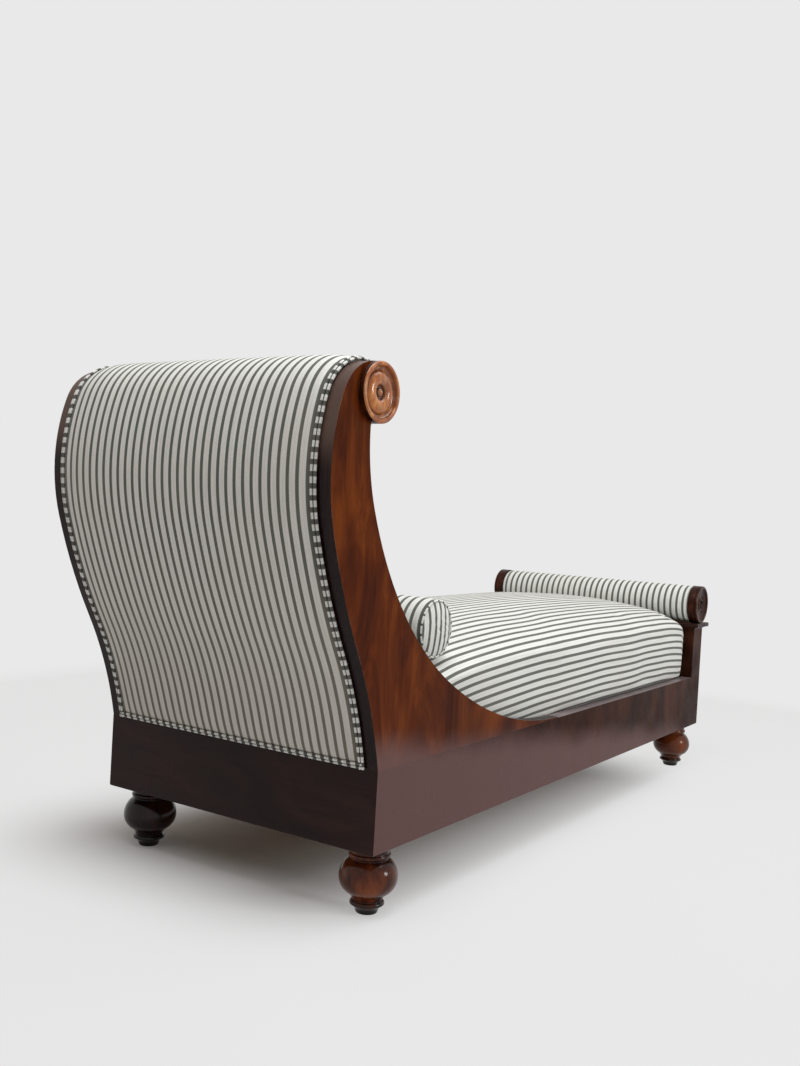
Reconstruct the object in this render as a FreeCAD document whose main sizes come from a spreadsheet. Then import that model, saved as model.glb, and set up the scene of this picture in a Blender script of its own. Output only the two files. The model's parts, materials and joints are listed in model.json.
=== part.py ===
"""Scroll-end daybed: a high upholstered head end, a long crowned seat and a low foot roll.

Lengths are in millimetres. X runs from the head end to the foot end, Z is up and the floor is at
zero. The near side, at negative Y, and the far side mirror each other. Local X starts at the outer
face of the head apron, which stands at apron_x.
"""
import FreeCAD, Part
import math
import os
import Sketcher

V = FreeCAD.Vector
NEAR, FAR = -1, 1
SIDE_NAMES = {NEAR: "near", FAR: "far"}

SIZES = {
    "overall_width": 680,
    "base_length": 1786,
    "foot_height": 128,
    "rail_height": 153,
    "rail_thickness": 32,
    "rail_arris": 4,
    "back_bulge": 195.1,
    # Scroll panel: outline of tangent arcs, heights above the floor
    "panel_thickness": 30,
    "back_waist_height": 493,
    "back_middle_height": 696,
    "back_nape_height": 927,
    "back_middle_radius": 1119,
    "back_nape_radius": 358,
    "crest_radius": 98,
    "head_radius": 53,
    "head_x": -70.5,
    "head_height": 938.6,
    "stem_x": -80.9,
    "stem_foot_height": 874,
    "sweep_top_radius": 361,
    "sweep_top_height": 740,
    "sweep_middle_radius": 644,
    "sweep_middle_height": 418,
    "toe_height": 2,
    # Turned rosette and its ring, hollow and button
    "rosette_radius": 53,
    "rosette_depth": 14,
    "rosette_rim": 9,
    "rosette_hollow": 5,
    "rosette_ring_radius": 38,
    "rosette_button_radius": 10,
    # Foot end
    "post_length": 78,
    "post_width": 50,
    "post_height": 157,
    "tenon_depth": 25,
    "foot_board_thickness": 30,
    "cap_overhang": 15,
    "cap_thickness": 12,
    "cap_round": 3,
    "mould_height": 7,
    "mould_reach": 6,
    # Foot roll
    "roll_radius": 57.5,
    "roll_pad_radius": 56.3,
    "roll_core_radius": 34,
    "roll_half_length": 352,
    "roll_cap_length": 30,
    "roll_cap_dish": 4,
    "roll_socket_depth": 14,
    "roll_setback": 66,
    "cradle_width": 28,
    # Turned bun foot
    "foot_top_radius": 37,
    "collar_radius": 40,
    "collar_top_height": 105,
    "collar_low_height": 91,
    "groove_radius": 36,
    "groove_height": 89,
    "ball_shoulder_radius": 40,
    "ball_shoulder_height": 87,
    "ball_upper_radius": 51.5,
    "ball_upper_height": 77,
    "ball_radius": 55,
    "ball_top_height": 69,
    "ball_low_height": 57,
    "ball_under_radius": 47,
    "ball_under_height": 42,
    "neck_radius": 29,
    "neck_height": 26,
    "ring_radius": 33,
    "ring_top_height": 17,
    "ring_low_height": 11,
    "base_radius": 21,
    "spigot_radius": 12,
    "spigot_length": 45,
    "foot_inset_length": 68,
    "foot_inset_width": 54,
    # Frame inside the base
    "block_size": 80,
    "block_height": 66,
    "cleat_size": 30,
    "frame_height": 200,
    "frame_thickness": 30,
    "frame_member": 70,
    "web_thickness": 2,
    "web_width": 50,
    "hessian_thickness": 1.5,
    # Frame inside the head end
    "tenon_length": 12,
    "batten_depth": 20,
    "batten_width": 22,
    "back_rail_depth": 24,
    "back_rail_width": 50,
    "cover_depth": 14,
    "cover_edge": 3,
    "cover_crown": 11,
    # Seat pad and bolster
    "seat_start": 75,
    "seat_end": 1698,
    "seat_half_width": 318,
    "soft_gap": 0.5,
    "bolster_x": 262,
    "bolster_height": 511.5,
    "bolster_end_radius": 55.5,
    "bolster_middle_radius": 60.5,
    "bolster_taper": 14,
    "bolster_half_length": 284,
    "bolster_dome": 10,
    "bolster_dome_radius": 26,
}
SIZES["apron_x"] = (SIZES["back_bulge"] - SIZES["base_length"] - SIZES["cap_overhang"]) / 2

doc = FreeCAD.newDocument("Daybed")
sheet = doc.addObject("Spreadsheet::Sheet", "Sizes")
for row, (alias, number) in enumerate(SIZES.items(), start=1):
    sheet.set(f"A{row}", alias)
    sheet.set(f"B{row}", str(number))
    sheet.setAlias(f"B{row}", alias)
doc.recompute()


class Size:
    """A length that carries both its number and the sheet expression that it comes from."""

    def __init__(self, number, text):
        self.number = float(number)
        self.text = text

    @staticmethod
    def of(thing):
        if isinstance(thing, Size):
            return thing
        return Size(thing, f"({thing})")

    def __add__(self, other):
        other = Size.of(other)
        return Size(self.number + other.number, f"({self.text} + {other.text})")

    def __sub__(self, other):
        other = Size.of(other)
        return Size(self.number - other.number, f"({self.text} - {other.text})")

    def __mul__(self, factor):
        return Size(self.number * factor, f"({self.text} * ({factor}))")

    def __neg__(self):
        return self * -1

    __radd__ = __add__
    __rmul__ = __mul__

    def __rsub__(self, other):
        return Size.of(other) - self


def size(alias):
    """The sheet's dimension of that name."""
    return Size(SIZES[alias], f"Sizes.{alias}")


ZERO = Size(0, "0")
APRON_X = size("apron_x")
HALF_WIDTH = size("overall_width") * 0.5
PANEL_FACE = HALF_WIDTH - size("panel_thickness")
FOOT_HEIGHT = size("foot_height")
RAIL_TOP = FOOT_HEIGHT + size("rail_height")
RAIL_THICKNESS = size("rail_thickness")
BASE_LENGTH = size("base_length")
CAP_UNDERSIDE = RAIL_TOP + size("post_height")
CAP_TOP = CAP_UNDERSIDE + size("cap_thickness")
ROLL_X = BASE_LENGTH - size("roll_setback") + size("cap_overhang")
ROLL_HEIGHT = CAP_TOP + size("roll_radius")
FRAME_TOP = size("frame_height") + size("frame_thickness")
PAD_BOTTOM = FRAME_TOP + size("web_thickness") * 2 + size("hessian_thickness")
parts = []


def keep(obj, label):
    """Names a finished piece and puts it on the list of pieces to write."""
    obj.Label = label
    parts.append(obj)
    return obj


def place(obj, x, y, z, rotation=None):
    """Puts an object at x, y, z, with every coordinate bound to the sheet."""
    if rotation is not None:
        obj.Placement = FreeCAD.Placement(V(0, 0, 0), rotation)
    for axis, value in zip("xyz", (x, y, z)):
        obj.setExpression(f"Placement.Base.{axis}", Size.of(value).text)
    return obj


def origin_plane(body, role):
    """The body's own origin plane of that role."""
    return next(item for item in body.Origin.OriginFeatures if item.Role == role)


def new_body(name):
    """An empty body."""
    return doc.addObject("PartDesign::Body", name)


def new_sketch(body, role, name):
    """An empty sketch on one of the body's origin planes."""
    sketch = body.newObject("Sketcher::SketchObject", f"{body.Name}_{name}")
    sketch.AttachmentSupport = [(origin_plane(body, role), "")]
    sketch.MapMode = "FlatFace"
    return sketch


def bind_constraint(sketch, constraint, name, value):
    """Adds a dimension to a sketch and ties it to the sheet."""
    sketch.addConstraint(constraint)
    last = sketch.ConstraintCount - 1
    sketch.renameConstraint(last, name)
    sketch.setExpression(f"Constraints.{name}", value.text)


def arc_geometry(start, end, radius, turn):
    """The arc of less than half a turn from start to end; turn is 1 for anticlockwise, -1 for clockwise."""
    chord = end - start
    rise = math.sqrt(radius * radius - chord.Length ** 2 / 4)
    across = V(-chord.y, chord.x, 0).normalize()
    centre = (start + end) * 0.5 + across * (rise * turn)
    first, last = (start, end) if turn > 0 else (end, start)
    begin = math.atan2(first.y - centre.y, first.x - centre.x)
    finish = math.atan2(last.y - centre.y, last.x - centre.x)
    return Part.ArcOfCircle(Part.Circle(centre, V(0, 0, 1), radius), begin, finish)


def draw(sketch, corners):
    """Draws a closed outline and dimensions every corner from the origin.

    A corner is (x, y) after a straight edge, or (x, y, radius, turn) where an arc leads to it.
    """
    points = [V(Size.of(c[0]).number, Size.of(c[1]).number, 0) for c in corners]
    for i, corner in enumerate(corners):
        start, end = points[i - 1], points[i]
        if len(corner) == 2:
            sketch.addGeometry(Part.LineSegment(start, end), False)
        else:
            sketch.addGeometry(arc_geometry(start, end, Size.of(corner[2]).number, corner[3]), False)
    ends = [1 if len(c) == 4 and c[3] < 0 else 2 for c in corners]
    for i, corner in enumerate(corners):
        following = (i + 1) % len(corners)
        sketch.addConstraint(Sketcher.Constraint("Coincident", i, ends[i], following, 3 - ends[following]))
        for axis, kind, line in ((0, "DistanceX", -2), (1, "DistanceY", -1)):
            value = Size.of(corner[axis])
            if value.number == 0:
                sketch.addConstraint(Sketcher.Constraint("PointOnObject", i, ends[i], line))
            else:
                constraint = Sketcher.Constraint(kind, -1, 1, i, ends[i], value.number)
                bind_constraint(sketch, constraint, f"{'xy'[axis]}{i}_corner", value)
        if len(corner) == 4:
            radius = Size.of(corner[2])
            constraint = Sketcher.Constraint("Radius", i, radius.number)
            bind_constraint(sketch, constraint, f"radius{i}_arc", radius)


def pad(body, sketch, length, reverse=False):
    """Pads a sketch by a length bound to the sheet."""
    feature = body.newObject("PartDesign::Pad", f"{body.Name}_pad")
    feature.Profile = sketch
    feature.setExpression("Length", Size.of(length).text)
    feature.Reversed = reverse
    return feature


def fillet(body, base, radius, chosen):
    """Rounds the edges of a feature whose two ends both pass the test."""
    doc.recompute()
    names = []
    for i, edge in enumerate(base.Shape.Edges, start=1):
        if all(chosen(vertex.Point) for vertex in edge.Vertexes):
            names.append(f"Edge{i}")
    feature = body.newObject("PartDesign::Fillet", f"{body.Name}_round")
    feature.Base = (base, names)
    feature.setExpression("Radius", radius.text)
    return feature


def turned(name, corners, x, y, z, rotation=None):
    """A turned piece: half its outline, given as radius and height, spun about its own Z axis."""
    body = new_body(name)
    sketch = new_sketch(body, "XZ_Plane", "half_outline")
    draw(sketch, corners)
    spin = body.newObject("PartDesign::Revolution", f"{name}_turning")
    spin.Profile = sketch
    spin.ReferenceAxis = (sketch, ["V_Axis"])
    spin.Angle = 360
    return place(body, x, y, z, rotation)


def box(name, x, y, z, length, width, height):
    """A plain board, strip or block between corners bound to the sheet."""
    obj = doc.addObject("Part::Box", name)
    for prop, value in (("Length", length), ("Width", width), ("Height", height)):
        obj.setExpression(prop, Size.of(value).text)
    return place(obj, APRON_X + x, y, z)


def cylinder(name, radius, height, x, y, z, rotation=None):
    """A plain round bar bound to the sheet."""
    obj = doc.addObject("Part::Cylinder", name)
    obj.setExpression("Radius", Size.of(radius).text)
    obj.setExpression("Height", Size.of(height).text)
    return place(obj, x, y, z, rotation)


def cut(base, tools, label):
    """The base piece with the room for its neighbours taken out."""
    tool = tools[0]
    if len(tools) > 1:
        tool = doc.addObject("Part::Compound", f"{label}_tools")
        tool.Links = tools
    result = doc.addObject("Part::Cut", f"{label}_cut")
    result.Base = base
    result.Tool = tool
    return keep(result, label)


def group(members, label):
    """Pieces that repeat, as separate solids that share one name."""
    result = doc.addObject("Part::Compound", f"{label}_group")
    result.Links = members
    return keep(result, label)


def free_form(label, shape):
    """A piece whose form is lofted in code from the sheet's sizes."""
    obj = doc.addObject("Part::Feature", label)
    obj.Shape = shape
    from_apron = FreeCAD.Placement(V(SIZES["apron_x"], 0, 0), FreeCAD.Rotation())
    obj.Placement = from_apron.multiply(shape.Placement)
    return keep(obj, label)


def side_y(side, distance):
    """A distance from the middle plane, on the near or the far side."""
    return Size.of(distance) * side


# Outward axes of the turned pieces on the two sides
OUTWARD = {
    NEAR: FreeCAD.Rotation(V(1, 0, 0), 90),
    FAR: FreeCAD.Rotation(V(1, 0, 0), -90),
}


def corner_points():
    """Each inner corner of the base, with the directions along the length and the width into it."""
    thick = SIZES["rail_thickness"]
    across = SIZES["overall_width"] / 2 - thick
    for end, x, inward in (("head", thick, 1), ("foot", SIZES["base_length"] - thick, -1)):
        for side in (NEAR, FAR):
            yield end, side, x, side * across, inward


# Turned bun feet with their spigots
def foot_outline():
    """Half outline of a foot from its spigot's top down to the floor."""
    spigot = size("spigot_radius")
    spigot_top = FOOT_HEIGHT + size("spigot_length")
    return [
        (ZERO, spigot_top),
        (spigot, spigot_top),
        (spigot, FOOT_HEIGHT),
        (size("foot_top_radius"), FOOT_HEIGHT),
        (size("foot_top_radius"), size("collar_top_height")),
        (size("collar_radius"), size("collar_top_height") - 3),
        (size("collar_radius"), size("collar_low_height")),
        (size("groove_radius"), size("groove_height")),
        (size("ball_shoulder_radius"), size("ball_shoulder_height")),
        (size("ball_upper_radius"), size("ball_upper_height")),
        (size("ball_radius"), size("ball_top_height")),
        (size("ball_radius"), size("ball_low_height")),
        (size("ball_under_radius"), size("ball_under_height")),
        (size("neck_radius"), size("neck_height")),
        (size("ring_radius"), size("ring_top_height")),
        (size("ring_radius"), size("ring_low_height")),
        (size("base_radius"), ZERO),
        (ZERO, ZERO),
    ]


foot_spots = {}
for end, side, x, y, inward in corner_points():
    label = f"{SIDE_NAMES[side]}_{end}_bun_foot"
    along = size("foot_inset_length") if end == "head" else BASE_LENGTH - size("foot_inset_length")
    foot_spots[(end, side)] = turned(label, foot_outline(), APRON_X + along,
                                     side_y(side, HALF_WIDTH - size("foot_inset_width")), 0)
group(list(foot_spots.values()), "bun_feet")


# Base: four mitred boards, corner blocks and cleats
def mitred_board(name, length, x, y, turn):
    """A base board with mitred ends, its outer face on local Y zero, turned about Z."""
    body = new_body(name)
    sketch = new_sketch(body, "XY_Plane", "plan")
    draw(sketch, [
        (length, ZERO),
        (length - RAIL_THICKNESS, RAIL_THICKNESS),
        (RAIL_THICKNESS, RAIL_THICKNESS),
        (ZERO, ZERO),
    ])
    board = pad(body, sketch, size("rail_height"))
    fillet(body, board, size("rail_arris"), lambda p: abs(p.y) < 0.01 and abs(p.z) < 0.01)
    return place(body, x, y, FOOT_HEIGHT, FreeCAD.Rotation(V(0, 0, 1), turn))


FULL_WIDTH = size("overall_width")
near_board = mitred_board("near_side_board", BASE_LENGTH, APRON_X, -HALF_WIDTH, 0)
far_board = mitred_board("far_side_board", BASE_LENGTH, APRON_X + BASE_LENGTH, HALF_WIDTH, 180)
head_board = mitred_board("head_board", FULL_WIDTH, APRON_X, HALF_WIDTH, -90)
foot_end_board = mitred_board("foot_end_board", FULL_WIDTH, APRON_X + BASE_LENGTH, -HALF_WIDTH, 90)
keep(head_board, "head_apron")
keep(foot_end_board, "foot_rail")

POST_START = BASE_LENGTH - size("post_length")
BOARD_HALF = HALF_WIDTH - size("post_width")
TENON_CHEEK = Size.of(9)
for side, board in ((NEAR, near_board), (FAR, far_board)):
    name = SIDE_NAMES[side]
    tenon_low = TENON_CHEEK - HALF_WIDTH if side == NEAR else HALF_WIDTH - RAIL_THICKNESS + TENON_CHEEK
    tenon = box(f"{name}_post_tenon", POST_START + TENON_CHEEK, tenon_low, RAIL_TOP - size("tenon_depth"),
                size("post_length") - RAIL_THICKNESS - TENON_CHEEK * 2, RAIL_THICKNESS - TENON_CHEEK * 2,
                size("tenon_depth"))
    cut(board, [tenon], f"{name}_side_rail")
    post_low = -HALF_WIDTH if side == NEAR else BOARD_HALF
    post = doc.addObject("Part::Fuse", f"{name}_post")
    post.Base = box(f"{name}_post_block", POST_START, post_low, RAIL_TOP, size("post_length"),
                    size("post_width"), size("post_height"))
    post.Tool = tenon
    keep(post, f"{name}_foot_post")

BLOCK = size("block_size")
for end, side, x, y, inward in corner_points():
    start = RAIL_THICKNESS if end == "head" else BASE_LENGTH - RAIL_THICKNESS - BLOCK
    low = RAIL_THICKNESS - HALF_WIDTH if side == NEAR else HALF_WIDTH - RAIL_THICKNESS - BLOCK
    label = f"{SIDE_NAMES[side]}_{end}_corner_block"
    raw = box(f"{label}_raw", start, low, FOOT_HEIGHT + 6, BLOCK, BLOCK, size("block_height"))
    cut(raw, [foot_spots[(end, side)]], label)

CLEAT = size("cleat_size")
for side in (NEAR, FAR):
    low = RAIL_THICKNESS - HALF_WIDTH if side == NEAR else HALF_WIDTH - RAIL_THICKNESS - CLEAT
    start = RAIL_THICKNESS + BLOCK
    strip = box(f"{SIDE_NAMES[side]}_cleat", start, low, size("frame_height") - CLEAT,
                BASE_LENGTH - start * 2, CLEAT, CLEAT)
    keep(strip, f"{SIDE_NAMES[side]}_seat_cleat")


# Seat frame, webbing and hessian
MEMBER = size("frame_member")
FRAME_GAP = Size.of(2)
FRAME_START = RAIL_THICKNESS + FRAME_GAP
FRAME_LENGTH = BASE_LENGTH - FRAME_START * 2
FRAME_HALF = HALF_WIDTH - RAIL_THICKNESS - FRAME_GAP
INNER_WIDTH = (FRAME_HALF - MEMBER) * 2
FRAME_Z = size("frame_height")
FRAME_THICK = size("frame_thickness")

for side in (NEAR, FAR):
    low = -FRAME_HALF if side == NEAR else FRAME_HALF - MEMBER
    keep(box(f"{SIDE_NAMES[side]}_frame", FRAME_START, low, FRAME_Z, FRAME_LENGTH, MEMBER, FRAME_THICK),
         f"seat_frame_{SIDE_NAMES[side]}_member")

cross_places = {
    "seat_frame_head_member": FRAME_START,
    "seat_frame_cross_member_1": FRAME_START + FRAME_LENGTH * (1 / 3) - MEMBER * 0.5,
    "seat_frame_cross_member_2": FRAME_START + FRAME_LENGTH * (2 / 3) - MEMBER * 0.5,
    "seat_frame_foot_member": FRAME_START + FRAME_LENGTH - MEMBER,
}
for label, start in cross_places.items():
    member = box(f"{label}_bar", start, MEMBER - FRAME_HALF, FRAME_Z, MEMBER, INNER_WIDTH, FRAME_THICK)
    keep(member, label)


def strap_group(label, straps):
    """A group of flat webbing straps, each given by its low corner and its extent."""
    return group([box(f"{label}_{i}", *strap) for i, strap in enumerate(straps)], label)


WEB = size("web_width")
WEB_THICK = size("web_thickness")
WEB_INSET = Size.of(20)
LONG_STRAPS, CROSS_STRAPS = 5, 14
long_pitch = (FRAME_HALF * 2 - WEB_INSET * 2 - WEB) * (1 / (LONG_STRAPS - 1))
cross_pitch = (FRAME_LENGTH - MEMBER * 2 - WEB_INSET * 2 - WEB) * (1 / (CROSS_STRAPS - 1))
strap_group("seat_webbing_lengthwise", [
    (FRAME_START + WEB_INSET, WEB_INSET - FRAME_HALF + long_pitch * i, FRAME_TOP,
     FRAME_LENGTH - WEB_INSET * 2, WEB, WEB_THICK)
    for i in range(LONG_STRAPS)
])
strap_group("seat_webbing_crosswise", [
    (FRAME_START + MEMBER + WEB_INSET + cross_pitch * i, WEB_INSET - FRAME_HALF, FRAME_TOP + WEB_THICK,
     WEB, FRAME_HALF * 2 - WEB_INSET * 2, WEB_THICK)
    for i in range(CROSS_STRAPS)
])
HESSIAN_START = size("seat_start") + 4
hessian = box("hessian_sheet", HESSIAN_START, 4 - FRAME_HALF, FRAME_TOP + WEB_THICK * 2,
              size("seat_end") - 4 - HESSIAN_START, FRAME_HALF * 2 - 8, size("hessian_thickness"))
keep(hessian, "seat_hessian")


# Scroll panels: one outline of tangent arcs, drawn once for each side
def panel_outline(sketch):
    """The S-shaped back, the scroll head, the stem and the sweep down to the rail, in the XZ plane."""
    base = SIZES["foot_height"] + SIZES["rail_height"]
    toe = base + SIZES["toe_height"]
    head = V(SIZES["head_x"], SIZES["head_height"], 0)
    crest = V(head.x, head.y + SIZES["head_radius"] - SIZES["crest_radius"], 0)
    top = V(head.x, head.y + SIZES["head_radius"], 0)
    under = V(SIZES["stem_x"], head.y - math.sqrt(SIZES["head_radius"] ** 2 - (SIZES["stem_x"] - head.x) ** 2), 0)

    def step_down(centre, radius, height, side):
        """The point of a circle at a height, on its left or right half."""
        rise = height - centre.y
        return V(centre.x + side * math.sqrt(radius ** 2 - rise ** 2), height, 0)

    def next_centre(centre, point, radius, next_radius, same_side):
        """The centre of the arc that carries on tangent from a point of the last one."""
        direction = (point - centre) * (1 / radius)
        return point - direction * (next_radius if same_side else -next_radius)

    nape_point = step_down(crest, SIZES["crest_radius"], SIZES["back_nape_height"], -1)
    nape = next_centre(crest, nape_point, SIZES["crest_radius"], SIZES["back_nape_radius"], True)
    middle_point = step_down(nape, SIZES["back_nape_radius"], SIZES["back_middle_height"], -1)
    middle = next_centre(nape, middle_point, SIZES["back_nape_radius"], SIZES["back_middle_radius"], True)
    waist_point = step_down(middle, SIZES["back_middle_radius"], SIZES["back_waist_height"], -1)
    outward = (waist_point - middle) * (1 / SIZES["back_middle_radius"])
    foot_point = V(0, base, 0)
    reach = foot_point - waist_point
    waist_radius = reach.Length ** 2 / (2 * reach.dot(outward))
    waist = waist_point + outward * waist_radius

    stem_foot = V(SIZES["stem_x"], SIZES["stem_foot_height"], 0)
    sweep_top = V(stem_foot.x + SIZES["sweep_top_radius"], stem_foot.y, 0)
    sweep_top_point = step_down(sweep_top, SIZES["sweep_top_radius"], SIZES["sweep_top_height"], -1)
    sweep_middle = next_centre(sweep_top, sweep_top_point, SIZES["sweep_top_radius"],
                               SIZES["sweep_middle_radius"], True)
    sweep_point = step_down(sweep_middle, SIZES["sweep_middle_radius"], SIZES["sweep_middle_height"], -1)
    inward = (sweep_middle - sweep_point) * (1 / SIZES["sweep_middle_radius"])
    sweep_low_radius = (sweep_point.y - toe) / (1 - inward.y)
    sweep_low = sweep_point + inward * sweep_low_radius
    toe_point = V(sweep_low.x, toe, 0)
    toe_foot = V(toe_point.x, base, 0)

    def arc(centre, radius, start, end):
        """An anticlockwise arc between two points of a circle."""
        first = math.atan2(start.y - centre.y, start.x - centre.x)
        last = math.atan2(end.y - centre.y, end.x - centre.x)
        return Part.ArcOfCircle(Part.Circle(centre, V(0, 0, 1), radius), first, last)

    geometry = [
        arc(waist, waist_radius, foot_point, waist_point),
        arc(middle, SIZES["back_middle_radius"], middle_point, waist_point),
        arc(nape, SIZES["back_nape_radius"], nape_point, middle_point),
        arc(crest, SIZES["crest_radius"], top, nape_point),
        arc(head, SIZES["head_radius"], under, top),
        Part.LineSegment(under, stem_foot),
        arc(sweep_top, SIZES["sweep_top_radius"], stem_foot, sweep_top_point),
        arc(sweep_middle, SIZES["sweep_middle_radius"], sweep_top_point, sweep_point),
        arc(sweep_low, sweep_low_radius, sweep_point, toe_point),
        Part.LineSegment(toe_point, toe_foot),
        Part.LineSegment(toe_foot, foot_point),
    ]
    sketch.addGeometry(geometry, False)
    joint = Sketcher.Constraint
    sketch.addConstraint([
        joint("Tangent", 0, 2, 1, 2),
        joint("Tangent", 1, 1, 2, 2),
        joint("Tangent", 2, 1, 3, 2),
        joint("Tangent", 3, 1, 4, 2),
        joint("Coincident", 4, 1, 5, 1),
        joint("Tangent", 5, 2, 6, 1),
        joint("Tangent", 6, 2, 7, 1),
        joint("Tangent", 7, 2, 8, 1),
        joint("Coincident", 8, 2, 9, 1),
        joint("Coincident", 9, 2, 10, 1),
        joint("Coincident", 10, 2, 0, 1),
        joint("Vertical", 5),
        joint("Vertical", 9),
        joint("Horizontal", 10),
        joint("Vertical", 3, 1, 4, 3),
        joint("Vertical", 8, 2, 8, 3),
        joint("PointOnObject", 0, 1, -2),
    ])
    for alias, edge in (("back_middle_radius", 1), ("back_nape_radius", 2), ("crest_radius", 3),
                        ("head_radius", 4), ("sweep_top_radius", 6), ("sweep_middle_radius", 7)):
        bind_constraint(sketch, joint("Radius", edge, SIZES[alias]), alias, size(alias))
    for alias, edge, spot in (("back_waist_height", 0, 2), ("back_middle_height", 1, 1),
                              ("back_nape_height", 2, 1), ("head_height", 4, 3),
                              ("stem_foot_height", 5, 2), ("sweep_top_height", 6, 2),
                              ("sweep_middle_height", 7, 2)):
        bind_constraint(sketch, joint("DistanceY", -1, 1, edge, spot, SIZES[alias]), alias, size(alias))
    for alias, edge, spot in (("head_x", 4, 3), ("stem_x", 5, 2)):
        bind_constraint(sketch, joint("DistanceX", -1, 1, edge, spot, SIZES[alias]), alias, size(alias))
    bind_constraint(sketch, joint("DistanceY", -1, 1, 0, 1, base), "base_height", RAIL_TOP)
    bind_constraint(sketch, joint("DistanceY", -1, 1, 8, 2, toe), "toe_top", RAIL_TOP + size("toe_height"))


panel_boards = {}
for side in (NEAR, FAR):
    body = new_body(f"{SIDE_NAMES[side]}_panel_board")
    sketch = new_sketch(body, "XZ_Plane", "outline")
    panel_outline(sketch)
    pad(body, sketch, size("panel_thickness"), reverse=side == FAR)
    panel_boards[side] = place(body, APRON_X, side_y(side, PANEL_FACE), 0)
doc.recompute()


class BackCurve:
    """The back's S-curve and scroll head, read from the solved outline, with offsets from it."""

    # Edge of the outline, with 1 where the arc bulges outwards and -1 where it is hollow
    ARCS = ((0, -1), (1, 1), (2, 1), (3, 1), (4, 1))

    def __init__(self, sketch):
        self.circles = []
        for edge, bulge in self.ARCS:
            arc = sketch.Geometry[edge]
            self.circles.append((V(arc.Center.x, arc.Center.y, 0), arc.Radius, bulge))
        self.corners = [
            sketch.Geometry[0].StartPoint,
            sketch.Geometry[0].EndPoint,
            sketch.Geometry[1].StartPoint,
            sketch.Geometry[2].StartPoint,
            sketch.Geometry[3].StartPoint,
        ]

    def direction(self, index, point):
        """The outward unit vector of an arc at one of its points."""
        centre, _, bulge = self.circles[index]
        return (point - centre).normalize() * bulge

    def move(self, index, point, offset):
        """A point of an arc moved outwards by the offset, in the XZ plane."""
        moved = point + self.direction(index, point) * offset
        return V(moved.x, 0, moved.y)

    def turned_point(self, index, start, degrees):
        """A point of an arc's circle, turned clockwise about its centre from a start point."""
        centre = self.circles[index][0]
        return centre + FreeCAD.Rotation(V(0, 0, 1), -degrees).multVec(start - centre)

    def stations(self, foot_turn, head_turn, last):
        """The arcs up to a last one, each as its circle's index and its first and last points."""
        corners = list(self.corners)
        corners[0] = self.turned_point(0, corners[0], foot_turn)
        runs = [(i, corners[i], corners[i + 1]) for i in range(min(last, 3) + 1)]
        if last == 4:
            crown = corners[4]
            half = self.turned_point(4, crown, head_turn / 2)
            runs.append((4, crown, half))
            runs.append((4, half, self.turned_point(4, crown, head_turn)))
        return runs

    def edges(self, runs, offset):
        """The edges of the curve moved outwards by an offset."""
        made = []
        for index, start, end in runs:
            centre = self.circles[index][0]
            middle = ((start - centre) + (end - centre)).normalize() * self.circles[index][1] + centre
            made.append(Part.Arc(self.move(index, start, offset), self.move(index, middle, offset),
                                 self.move(index, end, offset)).toShape())
        return made

    def band(self, runs, outer, inner, y):
        """A closed wire between two offsets of the curve, at a distance from the middle plane."""
        out = self.edges(runs, outer)
        back = self.edges(runs, inner)
        first, last = runs[0], runs[-1]
        far_end = Part.LineSegment(self.move(last[0], last[2], outer), self.move(last[0], last[2], inner))
        near_end = Part.LineSegment(self.move(first[0], first[1], inner), self.move(first[0], first[1], outer))
        wire = Part.Wire(out + [far_end.toShape()] + back[::-1] + [near_end.toShape()])
        wire.translate(V(0, y, 0))
        return wire


def sketch_of(body):
    """The outline sketch of a body."""
    return next(item for item in body.Group if item.TypeId == "Sketcher::SketchObject")


curve = BackCurve(sketch_of(panel_boards[NEAR]))
FLOOR_CUT = SIZES["foot_height"] + SIZES["rail_height"]
FAR_AWAY = 3000


def above_rail(shape):
    """The part of a shape that stands above the rails' top edge."""
    room = Part.makeBox(FAR_AWAY, FAR_AWAY, FAR_AWAY, V(-FAR_AWAY / 2, -FAR_AWAY / 2, FLOOR_CUT))
    return shape.common(room)


# Head end, inside: roller, cross rails, battens and webbing
TENON_HALF = PANEL_FACE + size("tenon_length")
roller_core = cylinder("roller_core", size("head_radius") - size("cover_depth"), PANEL_FACE * 2,
                       APRON_X + size("head_x"), PANEL_FACE, size("head_height"), OUTWARD[NEAR])
roller_pin = cylinder("roller_pin", size("tenon_length"), TENON_HALF * 2,
                      APRON_X + size("head_x"), TENON_HALF, size("head_height"), OUTWARD[NEAR])
roller = doc.addObject("Part::Fuse", "roller")
roller.Base = roller_core
roller.Tool = roller_pin
keep(roller, "top_roller")

COVER_BACK = -SIZES["cover_depth"]
BATTEN_BACK = COVER_BACK - SIZES["batten_depth"]
RAIL_SEAT = BATTEN_BACK - 1
RAIL_DEEP = SIZES["back_rail_depth"]
RAIL_TALL = SIZES["back_rail_width"]
RAIL_HEIGHTS = {"back_lower_rail": 318, "back_middle_rail": 612, "back_upper_rail": 852}


def curve_point(height, offset):
    """The curve's point at a height, moved by an offset, with its outward direction."""
    for index, start, end in curve.stations(0, 0, 3):
        if start.y <= height <= end.y:
            centre, radius, bulge = curve.circles[index]
            sideways = math.sqrt(radius ** 2 - (height - centre.y) ** 2)
            point = V(centre.x - bulge * sideways, height, 0)
            out = curve.direction(index, point)
            return point + out * offset, out
    raise ValueError(f"no point of the back at height {height}")


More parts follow.
